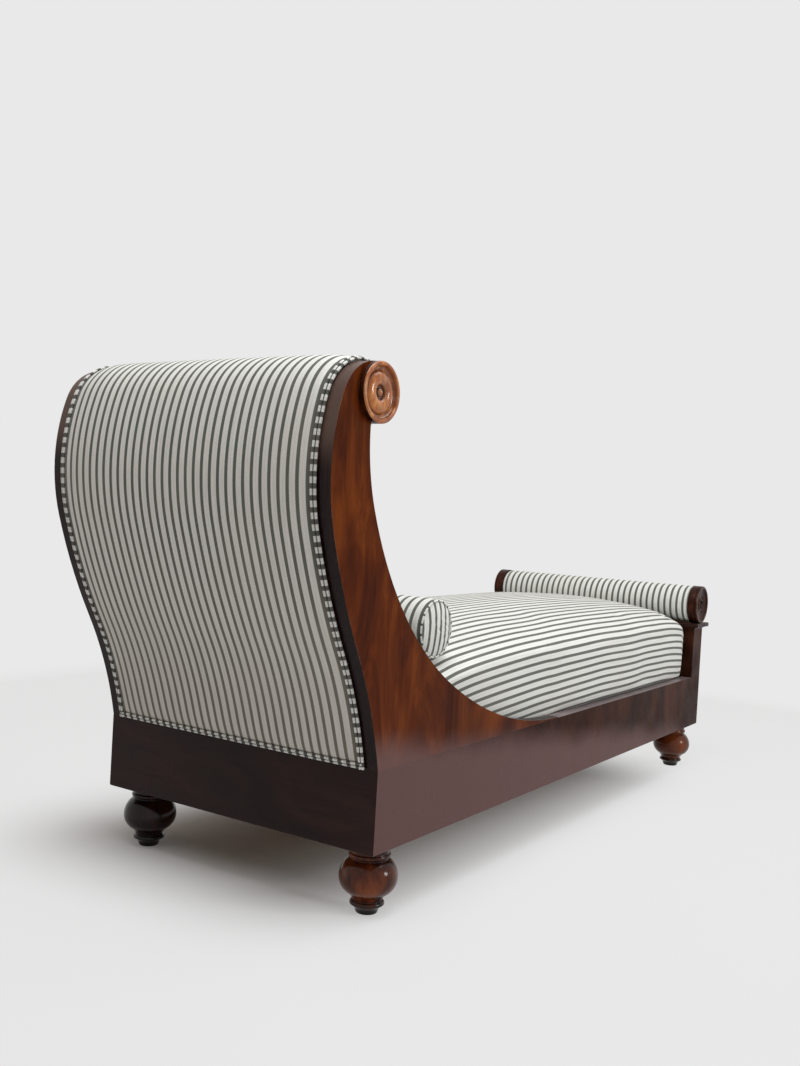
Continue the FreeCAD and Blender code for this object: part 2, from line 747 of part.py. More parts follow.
def cross_rail(label, height):
    """A rail between the panels, tenoned into both, just clear of the battens."""
    point, out = curve_point(height, RAIL_SEAT)
    length = 2 * TENON_HALF.number
    shape = Part.makeBox(RAIL_DEEP, length, RAIL_TALL, V(0, -length / 2, -RAIL_TALL / 2))
    lean = math.degrees(math.atan2(out.y, -out.x))
    shape.rotate(V(0, 0, 0), V(0, 1, 0), lean)
    shape.translate(V(point.x, 0, point.y))
    return free_form(label, shape)


def web_line(depth):
    """The straight runs that the webbing takes over the fronts of the cross rails, from the bottom up."""
    line = []
    for height in RAIL_HEIGHTS.values():
        point, out = curve_point(height, RAIL_SEAT - RAIL_DEEP - depth)
        rise = V(out.y, -out.x, 0) * (RAIL_TALL / 2)
        line += [V((point - rise).x, 0, (point - rise).y), V((point + rise).x, 0, (point + rise).y)]
    return line


def back_webbing():
    """Upright straps, tight over the fronts of the cross rails."""
    width = SIZES["web_width"]
    pitch = (2 * PANEL_INNER - width - 40) / (BACK_STRAPS - 1)
    outline = web_line(0) + web_line(SIZES["web_thickness"])[::-1]
    face = Part.Face(Part.makePolygon(outline + outline[:1]))
    strap = face.extrude(V(0, width, 0))
    straps = []
    for i in range(BACK_STRAPS):
        placed = strap.copy()
        placed.translate(V(0, 20 - PANEL_INNER + pitch * i, 0))
        straps.append(placed)
    return Part.makeCompound(straps)


PANEL_INNER = PANEL_FACE.number
BATTEN = SIZES["batten_width"]
BATTEN_REACH = 6
BACK_STRAPS = 4
cross_rails = [cross_rail(label, height) for label, height in RAIL_HEIGHTS.items()]
for side in (NEAR, FAR):
    batten_low = -PANEL_INNER if side == NEAR else PANEL_INNER - BATTEN
    batten_end = Part.Face(curve.band(curve.stations(BATTEN_REACH, 0, 2), COVER_BACK, BATTEN_BACK, batten_low))
    free_form(f"{SIDE_NAMES[side]}_back_batten", above_rail(batten_end.extrude(V(0, BATTEN, 0))))
    cut(panel_boards[side], [roller] + cross_rails, f"{SIDE_NAMES[side]}_scroll_panel")
free_form("inner_back_webbing", back_webbing())


# Outer back cover, lofted across the width with its crown
def loft(wires):
    """A closed solid through a row of wires."""
    solid = Part.makeLoft(wires, True, True)
    if solid.Volume < 0:
        solid.reverse()
    return solid


EDGE_GAP = 0.5
HEAD_WRAP = 190


def outer_cover():
    """The ticking and its stuffing, from the apron up the back and round the roller."""
    runs = curve.stations(BATTEN_REACH, HEAD_WRAP, 4)
    half = PANEL_INNER - EDGE_GAP
    edge, crown = SIZES["cover_edge"], SIZES["cover_crown"]
    profile = ((-1, edge), (-0.8, crown), (0.8, crown), (1, edge))
    return above_rail(loft([curve.band(runs, out, COVER_BACK, half * share) for share, out in profile]))


free_form("outer_back_cover", outer_cover())


# Inner back pad: lies on the webbing, leans with the panels and ends behind the seat
INNER_TOP = V(-92, 0, 878)
INNER_HIP = V(-48, 0, 663)
INNER_LOIN = V(27, 0, 503)
INNER_FOOT = V(70, 0, 346)
INNER_CROWN = 12
INNER_LEAN = 20


def inner_wire(share):
    """The pad's outline at a share of the half width."""
    crown = INNER_CROWN * (1 - abs(share) ** 3) - 3 * abs(share) ** 8
    lean = V(math.cos(math.radians(INNER_LEAN)), 0, math.sin(math.radians(INNER_LEAN)))
    push = lean * crown
    top, hip, loin = INNER_TOP + lean * (crown * 0.4), INNER_HIP + push, INNER_LOIN + push
    foot = INNER_FOOT + V(crown * 0.3, 0, 0)
    bend_top = (top + hip) * 0.5 + V(-6, 0, -4)
    bend_foot = (loin + foot) * 0.5 + V(7, 0, 3)
    back = web_line(SIZES["web_thickness"])[1:]
    edges = [
        Part.Arc(top, bend_top, hip),
        Part.LineSegment(hip, loin),
        Part.Arc(loin, bend_foot, foot),
        Part.LineSegment(foot, back[0]),
    ]
    edges += [Part.LineSegment(a, b) for a, b in zip(back, back[1:])]
    edges.append(Part.LineSegment(back[-1], top))
    wire = Part.Wire([edge.toShape() for edge in edges])
    wire.translate(V(0, (PANEL_INNER - EDGE_GAP) * share, 0))
    return wire


free_form("inner_back_pad", loft([inner_wire(s) for s in (-1, -0.8, 0, 0.8, 1)]))


# Turned rosettes on the scroll heads
def rosette_outline():
    """Half outline of a rosette: rim, step, dished ring and centre button."""
    radius, depth = size("rosette_radius"), size("rosette_depth")
    ring, button = size("rosette_ring_radius"), size("rosette_button_radius")
    rim = radius - size("rosette_rim")
    floor = depth - size("rosette_hollow")
    return [
        (ZERO, ZERO),
        (radius, ZERO),
        (radius, depth),
        (rim, depth),
        (rim, floor),
        (ring, floor),
        (ring, depth - 2),
        (button, depth - 2),
        (button, depth),
        (ZERO, depth),
    ]


group([turned(f"{SIDE_NAMES[side]}_rosette", rosette_outline(), APRON_X + size("head_x"),
              side_y(side, HALF_WIDTH), size("head_height"), OUTWARD[side]) for side in (NEAR, FAR)],
      "scroll_rosettes")


# Foot end: board, cap rail and bed moulding
BOARD_THICK = size("foot_board_thickness")
keep(box("board", BASE_LENGTH - BOARD_THICK, -BOARD_HALF, RAIL_TOP, BOARD_THICK, BOARD_HALF * 2,
         size("post_height")), "foot_board")


def cap_rail():
    """The flat board that caps the foot end, with rounded edges."""
    over = size("cap_overhang")
    body = new_body("cap_board")
    sketch = new_sketch(body, "XY_Plane", "plan")
    reach = HALF_WIDTH + over
    length = size("post_length") + over * 2
    draw(sketch, [(ZERO, -reach), (length, -reach), (length, reach), (ZERO, reach)])
    board = pad(body, sketch, size("cap_thickness"))
    top = SIZES["cap_thickness"]
    fillet(body, board, size("cap_round"), lambda p: abs(p.z - top) < 0.01)
    return keep(place(body, APRON_X + POST_START - over, 0, CAP_UNDERSIDE), "foot_cap_rail")


def bed_mould():
    """The small moulding under the cap, carried round three sides of the foot end."""
    body = new_body("bed_mould")
    path = new_sketch(body, "XY_Plane", "path")
    length = size("post_length")
    corners = [(ZERO, -HALF_WIDTH), (length, -HALF_WIDTH), (length, HALF_WIDTH), (ZERO, HALF_WIDTH)]
    points = [V(x.number, y.number, 0) for x, y in corners]
    path.addGeometry([Part.LineSegment(a, b) for a, b in zip(points, points[1:])], False)
    for i in (0, 1):
        path.addConstraint(Sketcher.Constraint("Coincident", i, 2, i + 1, 1))
    path.addConstraint([Sketcher.Constraint("Horizontal", 0), Sketcher.Constraint("Horizontal", 2),
                        Sketcher.Constraint("Vertical", 1)])
    path.addConstraint(Sketcher.Constraint("PointOnObject", 0, 1, -2))
    path.addConstraint(Sketcher.Constraint("PointOnObject", 2, 2, -2))
    half = HALF_WIDTH
    bind_constraint(path, Sketcher.Constraint("DistanceX", 0, 1, 0, 2, length.number), "run", length)
    bind_constraint(path, Sketcher.Constraint("DistanceY", 0, 1, -1, 1, half.number), "near_side", half)
    bind_constraint(path, Sketcher.Constraint("DistanceY", -1, 1, 2, 2, half.number), "far_side", half)
    profile = new_sketch(body, "YZ_Plane", "profile")
    reach, tall = size("mould_reach"), size("mould_height")
    draw(profile, [
        (-HALF_WIDTH, -tall),
        (-HALF_WIDTH, ZERO),
        (-(HALF_WIDTH + reach), ZERO),
        (-(HALF_WIDTH + reach), Size.of(-1.5)),
        (-(HALF_WIDTH + 1), -tall, Size.of(6.5), -1),
    ])
    pipe = body.newObject("PartDesign::AdditivePipe", "mould_run")
    pipe.Profile = profile
    pipe.Spine = (path, ["Edge1", "Edge2", "Edge3"])
    pipe.Transition = "Right corner"
    return keep(place(body, APRON_X + POST_START, 0, CAP_UNDERSIDE), "foot_cap_moulding")


cap_rail()
bed_mould()


# Foot roll: core, pad, turned caps and the cradle under the pad
def cap_outline():
    """Half outline of a roll cap, from its inner socket to its dished face."""
    radius, long = size("roll_radius"), size("roll_cap_length")
    core = size("roll_core_radius")
    return [
        (ZERO, size("roll_socket_depth")),
        (core, size("roll_socket_depth")),
        (core, ZERO),
        (radius, ZERO),
        (radius, long),
        (radius - 10, long),
        (radius - 10, long - size("roll_cap_dish")),
        (ZERO, long - size("roll_cap_dish")),
    ]


PAD_HALF = size("roll_half_length") - size("roll_cap_length")
CORE_HALF = PAD_HALF + size("roll_socket_depth")
core = cylinder("core", size("roll_core_radius"), CORE_HALF * 2, APRON_X + ROLL_X, CORE_HALF,
                ROLL_HEIGHT, OUTWARD[NEAR])
keep(core, "foot_roll_core")
group([turned(f"{SIDE_NAMES[side]}_cap", cap_outline(), APRON_X + ROLL_X, side_y(side, PAD_HALF),
              ROLL_HEIGHT, OUTWARD[side]) for side in (NEAR, FAR)], "roll_caps")

roll_sleeve = turned("roll_sleeve", [
    (size("roll_core_radius"), -PAD_HALF),
    (size("roll_pad_radius") - 2, -PAD_HALF),
    (size("roll_pad_radius"), 2 - PAD_HALF),
    (size("roll_pad_radius"), PAD_HALF - 2),
    (size("roll_pad_radius") - 2, PAD_HALF),
    (size("roll_core_radius"), PAD_HALF),
], APRON_X + ROLL_X, 0, ROLL_HEIGHT, OUTWARD[NEAR])
keep(roll_sleeve, "foot_roll_pad")

cradle_block = box("cradle_block", ROLL_X - size("cradle_width") * 0.5, 2 - PAD_HALF, CAP_TOP,
                   size("cradle_width"), (PAD_HALF - 2) * 2, 6)
cradle_hollow = cylinder("cradle_hollow", size("roll_pad_radius"), PAD_HALF * 2, APRON_X + ROLL_X,
                         PAD_HALF, ROLL_HEIGHT, OUTWARD[NEAR])
cut(cradle_block, [cradle_hollow], "foot_roll_cradle")


# Bolster: fullest in its middle, with domed ends
BOLSTER_X = APRON_X + size("bolster_x")
BOLSTER_HALF = size("bolster_half_length")
BOLSTER_END = size("bolster_end_radius")
BOLSTER_TIP = BOLSTER_HALF + size("bolster_dome")
bolster = turned("bolster_roll", [
    (ZERO, -BOLSTER_TIP),
    (size("bolster_dome_radius"), -BOLSTER_TIP),
    (BOLSTER_END, -BOLSTER_HALF),
    (size("bolster_middle_radius"), size("bolster_taper") - BOLSTER_HALF),
    (size("bolster_middle_radius"), BOLSTER_HALF - size("bolster_taper")),
    (BOLSTER_END, BOLSTER_HALF),
    (size("bolster_dome_radius"), BOLSTER_TIP),
    (ZERO, BOLSTER_TIP),
], BOLSTER_X, 0, size("bolster_height"), OUTWARD[NEAR])
keep(bolster, "bolster")


# Seat pad: crowned, drawn in at its ends, and pressed down under the bolster
SEAT_STATIONS = (
    # length from the apron, half width, height of the side, height of the shoulder, crown
    (75, 306, 352, 392, 402),
    (92, 308, 376, 422, 434),
    (200, 309, 398, 444, 458),
    (330, 309.2, 404, 452, 478),
    (450, 309.3, 416, 475, 502),
    (745, 309.5, 428, 494, 535),
    (830, 318, 430, 498, 540),
    (1250, 318, 431, 497, 536),
    (1470, 318, 430, 491, 522),
    (1600, 317.5, 424, 480, 503),
    (1672, 314, 400, 450, 467),
    (1698, 308, 352, 392, 404),
)
SHOULDER_WIDTH = 86
TUCK = 304
LEDGE = SIZES["foot_height"] + SIZES["rail_height"]


def seat_wire(x, half, side_top, shoulder, crown):
    """A cross section of the seat: straight lower sides, full sides, shoulders and crown."""
    low = PAD_BOTTOM.number
    width = SHOULDER_WIDTH

    def shoulder_arc(sign):
        """The round from the side to the top, as three points."""
        side = V(x, sign * half, side_top)
        top = V(x, sign * (half - width), shoulder)
        bend = V(x, sign * (half - width * 0.24), side_top + (shoulder - side_top) * 0.68)
        return side, bend, top

    near_side, near_bend, near_top = shoulder_arc(NEAR)
    far_side, far_bend, far_top = shoulder_arc(FAR)
    edges = [
        Part.LineSegment(V(x, -TUCK, low), V(x, -TUCK, LEDGE + 1)),
        Part.LineSegment(V(x, -TUCK, LEDGE + 1), V(x, -half, LEDGE + 6)),
        Part.LineSegment(V(x, -half, LEDGE + 6), near_side),
        Part.Arc(near_side, near_bend, near_top),
        Part.Arc(near_top, V(x, 0, crown), far_top),
        Part.Arc(far_top, far_bend, far_side),
        Part.LineSegment(far_side, V(x, half, LEDGE + 6)),
        Part.LineSegment(V(x, half, LEDGE + 6), V(x, TUCK, LEDGE + 1)),
        Part.LineSegment(V(x, TUCK, LEDGE + 1), V(x, TUCK, low)),
        Part.LineSegment(V(x, TUCK, low), V(x, -TUCK, low)),
    ]
    return Part.Wire([edge.toShape() for edge in edges])


def bolster_room():
    """The bolster's own shape with a small gap round it."""
    gap = SIZES["soft_gap"]
    half = SIZES["bolster_half_length"]
    tip = half + SIZES["bolster_dome"] + gap
    full = half - SIZES["bolster_taper"]
    middle = SIZES["bolster_middle_radius"] + gap
    end = SIZES["bolster_end_radius"] + gap
    outline = [V(0, y, r) for y, r in ((-tip, 0), (-tip, end), (-half, end), (-full, middle),
                                       (full, middle), (half, end), (tip, end), (tip, 0), (-tip, 0))]
    room = Part.Face(Part.makePolygon(outline)).revolve(V(0, 0, 0), V(0, 1, 0), 360)
    room.translate(V(SIZES["bolster_x"], 0, SIZES["bolster_height"]))
    return room


seat = loft([seat_wire(*station) for station in SEAT_STATIONS])
free_form("seat_pad", seat.cut(bolster_room()))


# Final checks, then one file for each piece
doc.recompute()
for obj in doc.Objects:
    if "Invalid" in obj.State or "Error" in obj.State:
        raise SystemExit(f"{obj.Name} is {obj.State}")
for part in parts:
    if part.Shape.isNull() or not part.Shape.isValid():
        raise SystemExit(f"{part.Label} has no valid shape")
whole = Part.makeCompound([part.Shape for part in parts])
room = whole.BoundBox
print(f"{len(parts)} pieces, {room.XLength:.1f} x {room.YLength:.1f} x {room.ZLength:.1f}")
print(f"middle of the box at x {room.Center.x:.2f}, y {room.Center.y:.2f}, lowest {room.ZMin:.2f}")
os.makedirs("parts", exist_ok=True)
for part in parts:
    part.Shape.exportStep(f"parts/{part.Label}.step")
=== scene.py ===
"""Scroll-end daybed, dressed: striped ticking, polished mahogany, turned feet, caps and rosettes.

Lengths are in metres. X runs from the head end to the foot end, Z is up and the floor is at zero.
The near side is at negative Y, and the far side mirrors it.
"""
import json
import logging
import math
from dataclasses import dataclass, replace
from enum import Enum
from typing import Callable, Sequence

import bmesh
import bpy
from mathutils import Matrix, Vector, noise


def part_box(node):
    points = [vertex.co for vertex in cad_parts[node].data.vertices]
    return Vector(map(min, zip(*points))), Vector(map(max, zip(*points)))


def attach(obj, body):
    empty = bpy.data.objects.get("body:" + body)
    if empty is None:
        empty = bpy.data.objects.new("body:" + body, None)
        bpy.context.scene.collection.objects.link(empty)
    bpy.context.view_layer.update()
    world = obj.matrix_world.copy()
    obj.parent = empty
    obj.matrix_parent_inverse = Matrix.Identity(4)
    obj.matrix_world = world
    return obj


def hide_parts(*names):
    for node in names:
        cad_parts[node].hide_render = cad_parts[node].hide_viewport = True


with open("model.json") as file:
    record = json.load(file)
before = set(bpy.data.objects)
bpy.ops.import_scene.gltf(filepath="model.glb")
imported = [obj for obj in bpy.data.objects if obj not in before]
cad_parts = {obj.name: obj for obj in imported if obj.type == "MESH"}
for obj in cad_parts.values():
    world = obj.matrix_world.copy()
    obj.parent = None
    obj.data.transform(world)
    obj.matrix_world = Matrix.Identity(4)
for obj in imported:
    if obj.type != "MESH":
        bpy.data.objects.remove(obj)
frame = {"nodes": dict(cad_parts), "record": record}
LOG = logging.getLogger("daybed")
CLOTH_MAP = "cloth"
MM = 0.001
FULL_TURN = math.tau
MERGE = 0.02 * MM
SIMULATED_FRAMES = 16
Colour = tuple[float, float, float]
Pair = tuple[float, float]
Place = Callable[[float, float], Vector]
Weave = Callable[[float, float, float], Pair]
Socket = bpy.types.NodeSocket
Finish = bpy.types.Material
Finishes = dict[str, Finish]
Piece = bpy.types.Object
Shape = bmesh.types.BMesh


class Side(Enum):
    """The two long sides of the daybed."""

    NEAR = -1
    FAR = 1

    @property
    def word(self) -> str:
        """The side's name as pieces carry it."""
        return self.name.lower()


class Grain(Enum):
    """Which way the wood's fibres run, as the stretch of its pattern along X, Y and Z."""

    CROSSWISE = (1.0, 0.06, 1.0)
    UPRIGHT = (1.0, 1.0, 0.06)


def shade(red: int, green: int, blue: int) -> Colour:
    """A colour in linear light.

    Args:
        red: red from 0 to 255, as a screen shows it.
        green: green in the same way.
        blue: blue in the same way.

    Returns:
        The three parts in linear light, from 0 to 1.
    """
    def linear(part: float) -> float:
        """One part in linear light."""
        return part / 12.92 if part <= 0.04045 else ((part + 0.055) / 1.055) ** 2.4

    return linear(red / 255), linear(green / 255), linear(blue / 255)


class Wiring:
    """Wires up one material or sky, with short calls for the nodes that the finishes share."""

    def __init__(self, block: bpy.types.ID) -> None:
        """Clears the block's nodes.

        Args:
            block: the material or world to wire.
        """
        self.block = block
        block.use_nodes = True
        self.tree = block.node_tree
        self.tree.nodes.clear()

    @classmethod
    def named(cls, name: str) -> "Wiring":
        """The wiring of a new material."""
        return cls(bpy.data.materials.new(name))

    def node(self, kind: str, **settings: object) -> bpy.types.Node:
        """A new node of that kind with its settings.

        Args:
            kind: the node's type, without its common prefix.
            settings: its properties.

        Returns:
            The node.
        """
        made = self.tree.nodes.new(f"ShaderNode{kind}")
        for key, value in settings.items():
            setattr(made, key, value)
        return made

    def feed(self, socket: Socket, value: object) -> None:
        """Links a socket to another one, or sets it to a number or a colour.

        Args:
            socket: the input.
            value: a socket, a number, a colour or a vector.
        """
        if isinstance(value, Socket):
            self.tree.links.new(value, socket)
        elif isinstance(value, tuple) and len(value) == 3 and socket.type == "RGBA":
            socket.default_value = (*value, 1.0)
        else:
            socket.default_value = value

    def fed(self, kind: str, **values: object) -> bpy.types.Node:
        """A new node whose sockets are fed by name, with underscores for spaces.

        Args:
            kind: the node's type, without its common prefix.
            values: what its inputs get.

        Returns:
            The node.
        """
        made = self.node(kind)
        for name, value in values.items():
            self.feed(made.inputs[name.replace("_", " ")], value)
        return made

    def where(self) -> Socket:
        """The place on the object, in metres."""
        return self.node("TexCoord").outputs["Object"]

    def parts(self, vector: Socket) -> bpy.types.bpy_prop_collection:
        """The X, Y and Z of a vector."""
        return self.fed("SeparateXYZ", Vector=vector).outputs

    def stretched(self, vector: Socket, scale: Sequence[float]) -> Socket:
        """A vector with each of its axes scaled."""
        return self.fed("Mapping", Vector=vector, Scale=scale).outputs[0]

    def math(self, operation: str, first: object, second: object = 0.0) -> Socket:
        """The result of a sum on one or two numbers.

        Args:
            operation: the sum's name in Blender.
            first: a socket or number.
            second: another, where the sum takes two.

        Returns:
            The result.
        """
        made = self.node("Math", operation=operation)
        self.feed(made.inputs[0], first)
        self.feed(made.inputs[1], second)
        return made.outputs[0]

    def woven(self, across: Socket, along: Socket, thread: float) -> Socket:
        """Threads that cross, from -1 to 1, with their thickness in metres."""
        ways = (self.math("MULTIPLY", way, FULL_TURN / thread) for way in (across, along))
        return self.math("MULTIPLY", *(self.math("SINE", way) for way in ways))

    def noise(self, vector: Socket, scale: float, detail: float = 3.0, rough: float = 0.5,
              twist: float = 0.0) -> Socket:
        """A cloudy pattern from 0 to 1."""
        return self.fed("TexNoise", Vector=vector, Scale=scale, Detail=detail, Roughness=rough,
                        Distortion=twist).outputs["Fac"]

    def spread(self, value: Socket, low: float, high: float, to_low: float = 0.0,
               to_high: float = 1.0) -> Socket:
        """A number between two limits, eased to run between two others.

        Args:
            value: the number.
            low: where the run starts.
            high: where it ends.
            to_low: the result up to the start.
            to_high: the result past the end.

        Returns:
            The result; low may lie above high.
        """
        made = self.node("MapRange", interpolation_type="SMOOTHSTEP")
        for socket, number in zip(made.inputs, (value, low, high, to_low, to_high)):
            self.feed(socket, number)
        return made.outputs[0]

    def crease(self, reach: float, open_at: float, most: float) -> Socket:
        """How deep a place lies in a crease, for grime and painted shade there: the most in its depth, nothing
        where it is as open as open_at.

        Args:
            reach: how near another face must be, in metres.
            open_at: openness from which on a place gets no grime or painted shade.
            most: the result in the deepest crease.

        Returns:
            The result, down to 0 in the open.
        """
        made = self.node("AmbientOcclusion", samples=6)
        made.inputs["Distance"].default_value = reach
        return self.spread(made.outputs["AO"], 0.3, open_at, most, 0.0)

    def ramp(self, factor: Socket, stops: Sequence[tuple[float, Colour]]) -> Socket:
        """A colour that runs through the stops as the factor rises.

        Args:
            factor: the number to follow.
            stops: places from 0 to 1 with their colours.

        Returns:
            The colour.
        """
        made = self.node("ValToRGB")
        band = made.color_ramp
        while len(band.elements) < len(stops):
            band.elements.new(0.5)
        for element, (position, colour) in zip(band.elements, stops):
            element.position = position
            element.color = (*colour, 1.0)
        self.feed(made.inputs[0], factor)
        return made.outputs[0]

    def mix(self, factor: object, first: object, second: object) -> Socket:
        """Two colours mixed by a factor.

        Args:
            factor: share of the second colour.
            first: a socket or colour.
            second: another one.

        Returns:
            The mixed colour.
        """
        made = self.node("Mix", data_type="RGBA")
        for place, value in ((0, factor), (6, first), (7, second)):
            self.feed(made.inputs[place], value)
        return made.outputs[2]

    def bump(self, height: Socket, strength: float, depth: float) -> Socket:
        """A surface normal that a height pattern disturbs."""
        return self.fed("Bump", Height=height, Strength=strength, Distance=depth).outputs[0]

    def seen(self) -> Socket:
        """1 for rays that the camera sees, also in a gloss or through glass, and 0 for the others."""
        path = self.node("LightPath").outputs
        seen = self.math("MAXIMUM", path["Is Camera Ray"], path["Is Glossy Ray"])
        return self.math("MAXIMUM", seen, path["Is Transmission Ray"])

    def either(self, share: Socket, first: bpy.types.Node, second: bpy.types.Node) -> bpy.types.Node:
        """A shader that turns from the first into the second as the share rises.

        Args:
            share: share of the second shader.
            first: a shader.
            second: another one.

        Returns:
            The mixed shader.
        """
        made = self.node("MixShader")
        for socket, value in zip(made.inputs, (share, first.outputs[0], second.outputs[0])):
            self.feed(socket, value)
        return made

    def end(self, shader: bpy.types.Node, kind: str = "OutputMaterial") -> bpy.types.ID:
        """Ends the wiring in a shader, and gives its block back."""
        self.feed(self.node(kind).inputs[0], shader.outputs[0])
        return self.block

    def finish(self, **sockets: object) -> Finish:
        """Ends the material in one surface, with its sockets fed by name."""
        return self.end(self.fed("BsdfPrincipled", **sockets))


@dataclass(frozen=True)
class Fade:
    """A tint that changes a colour, fully at one height and not at all at another: here painted reflection,
    painted sheen, painted shade and a darker foot base.
    """

    colour: Colour
    share: float
    full_at: float
    none_at: float
    lean: float = 0.0
    drift: float = 0.05

    def over(self, wiring: Wiring, where: Socket, colour: Socket) -> Socket:
        """Lays the change over a colour; the heights drop by the lean for each metre towards the foot.

        Args:
            wiring: the material's wiring.
            where: the place on the piece.
            colour: the colour underneath.

        Returns:
            The changed colour.
        """
        x, _, z = wiring.parts(where)
        level = wiring.math("ADD", z, wiring.math("MULTIPLY", x, self.lean))
        level = wiring.math("ADD", level, wiring.math("MULTIPLY", wiring.noise(where, 7.0), self.drift))
        share = wiring.spread(level, self.full_at, self.none_at, self.share, 0.0)
        return wiring.mix(share, colour, self.colour)


@dataclass(frozen=True)
class Wood:
    """A wood finish: fibres, a mottled figure, pores, uneven gloss, and, where there is any, grime with painted
    shade in creases, wear, and a tint by height.
    """

    name: str
    dark: Colour
    body: Colour
    light: Colour
    grain: Grain = Grain.UPRIGHT
    figure_scale: float = 10.0
    figure_share: float = 0.7
    roughness: float = 0.34
    shine: float = 0.16
    polish: float = 0.06
    dirt: float = 0.0
    wear: float = 0.0
    fade: Fade | None = None
    fibre_scale: float = 170.0
    pore_scale: float = 900.0
    pore_depth: float = 0.1 * MM
    dirt_reach: float = 12 * MM

    def material(self) -> Finish:
        """Builds the finish."""
        wiring = Wiring.named(self.name)
        where = wiring.where()
        along = wiring.stretched(where, self.grain.value)
        softer = wiring.stretched(where, tuple(0.35 + 0.65 * share for share in self.grain.value))
        fibre = wiring.noise(along, self.fibre_scale, 5.0, 0.6)
        figure = wiring.noise(softer, self.figure_scale, 4.0, 0.6, 1.2)
        tone = wiring.math("ADD", wiring.math("MULTIPLY", fibre, 1 - self.figure_share),
                           wiring.math("MULTIPLY", figure, self.figure_share))
        colour = wiring.ramp(tone, ((0.36, self.dark), (0.5, self.body), (0.66, self.light)))
        pores = wiring.spread(wiring.noise(along, self.pore_scale, 2.0), 0.6, 0.72)
        colour = wiring.mix(wiring.math("MULTIPLY", pores, 0.35), colour, self.dark)
        cloud = wiring.spread(wiring.noise(where, 3.3), 0.42, 0.7, 0.0, 0.55)
        colour = wiring.mix(cloud, colour, self.dark)
        if self.fade:
            colour = self.fade.over(wiring, where, colour)
        # Grime and painted shade: creases darken by how closed in they are, towards a near-black of the dark
        # tone.
        if self.dirt:
            creased_grime_and_shade = wiring.crease(self.dirt_reach, 0.85, self.dirt)
            colour = wiring.mix(creased_grime_and_shade, colour, tuple(part * 0.12 for part in self.dark))
        if self.wear:
            rubbed = wiring.spread(wiring.noise(where, 34.0, 4.0, 0.65), 0.5, 0.6, 0.0, self.wear)
            colour = wiring.mix(rubbed, colour, tuple(0.45 * part + 0.2 for part in self.light))
        uneven = wiring.spread(wiring.noise(where, 19.0, 4.0, 0.6), 0.3, 0.7,
                               self.roughness - 0.06, self.roughness + 0.1)
        relief = wiring.math("SUBTRACT", wiring.math("MULTIPLY", fibre, 0.25), pores)
        return wiring.finish(Base_Color=colour, Roughness=uneven, Specular_IOR_Level=self.shine,
                             Coat_Weight=self.polish, Coat_Roughness=0.1,
                             Normal=wiring.bump(relief, 0.45, self.pore_depth))


@dataclass(frozen=True)
class Ticking:
    """Striped cotton ticking, read from the piece's own cloth map, whose first axis crosses the stripes."""

    name: str
    cream: Colour = shade(238, 239, 235)
    stripe: Colour = shade(66, 70, 61)
    soil: Colour = shade(196, 188, 172)
    creased_grime_and_shade: Colour = shade(40, 36, 30)
    pitch: float = 19.2 * MM
    stripe_share: float = 0.37
    wander: float = 0.8 * MM
    thread: float = 1.1 * MM
    dirt: float = 0.7
    dirt_reach: float = 9 * MM
    fade: Fade | None = None

    def material(self) -> Finish:
        """Builds the finish."""
        wiring = Wiring.named(self.name)
        cloth = wiring.node("UVMap", uv_map=CLOTH_MAP).outputs[0]
        across, along, _ = wiring.parts(cloth)
        wander = wiring.math("SUBTRACT", wiring.noise(cloth, 9.0, 2.0), 0.5)
        wander = wiring.math("MULTIPLY", wander, self.wander)
        place = wiring.math("DIVIDE", wiring.math("ADD", across, wander), self.pitch)
        from_middle = wiring.math("ABSOLUTE", wiring.math("SUBTRACT", wiring.math("FRACT", place), 0.5))
        half = self.stripe_share / 2
        dark = wiring.spread(from_middle, half - 0.03, half + 0.03, 1.0, 0.0)
        fine_line = wiring.spread(from_middle, 0.475, 0.495, 0.0, 0.16)
        weave = wiring.woven(across, along, self.thread)
        threads = wiring.spread(weave, -1.0, 1.0, 0.82, 1.0)
        cream = wiring.mix(fine_line, self.cream, self.stripe)
        slub = wiring.noise(wiring.stretched(cloth, (260.0, 9.0, 1.0)), 1.0, 2.0)
        cream = wiring.mix(wiring.spread(slub, 0.3, 0.7, 0.0, 0.09), cream, self.stripe)
        colour = wiring.mix(wiring.math("MULTIPLY", dark, threads), cream, self.stripe)
        speckle = wiring.noise(cloth, 460.0, 2.0, 0.7)
        colour = wiring.mix(wiring.spread(speckle, 0.35, 0.75, 0.0, 0.16), colour, self.stripe)
        soiled = wiring.spread(wiring.noise(wiring.where(), 5.0), 0.45, 0.8, 0.0, 0.1)
        colour = wiring.mix(soiled, colour, self.soil)
        if self.fade:
            colour = self.fade.over(wiring, wiring.where(), colour)
        # Painted shade with some grime: creases, such as those between the welts and the cover, darken by how
        # closed in they are.
        colour = wiring.mix(wiring.crease(self.dirt_reach, 0.9, self.dirt), colour, self.creased_grime_and_shade)
        relief = wiring.math("ADD", wiring.math("MULTIPLY", weave, 0.5), wiring.math("MULTIPLY", slub, 0.6))
        return wiring.finish(Base_Color=colour, Roughness=wiring.spread(slub, 0.2, 0.8, 0.82, 0.95),
                             Specular_IOR_Level=0.25, Sheen_Weight=0.12, Sheen_Roughness=0.5,
                             Normal=wiring.bump(relief, 0.35, 0.3 * MM))


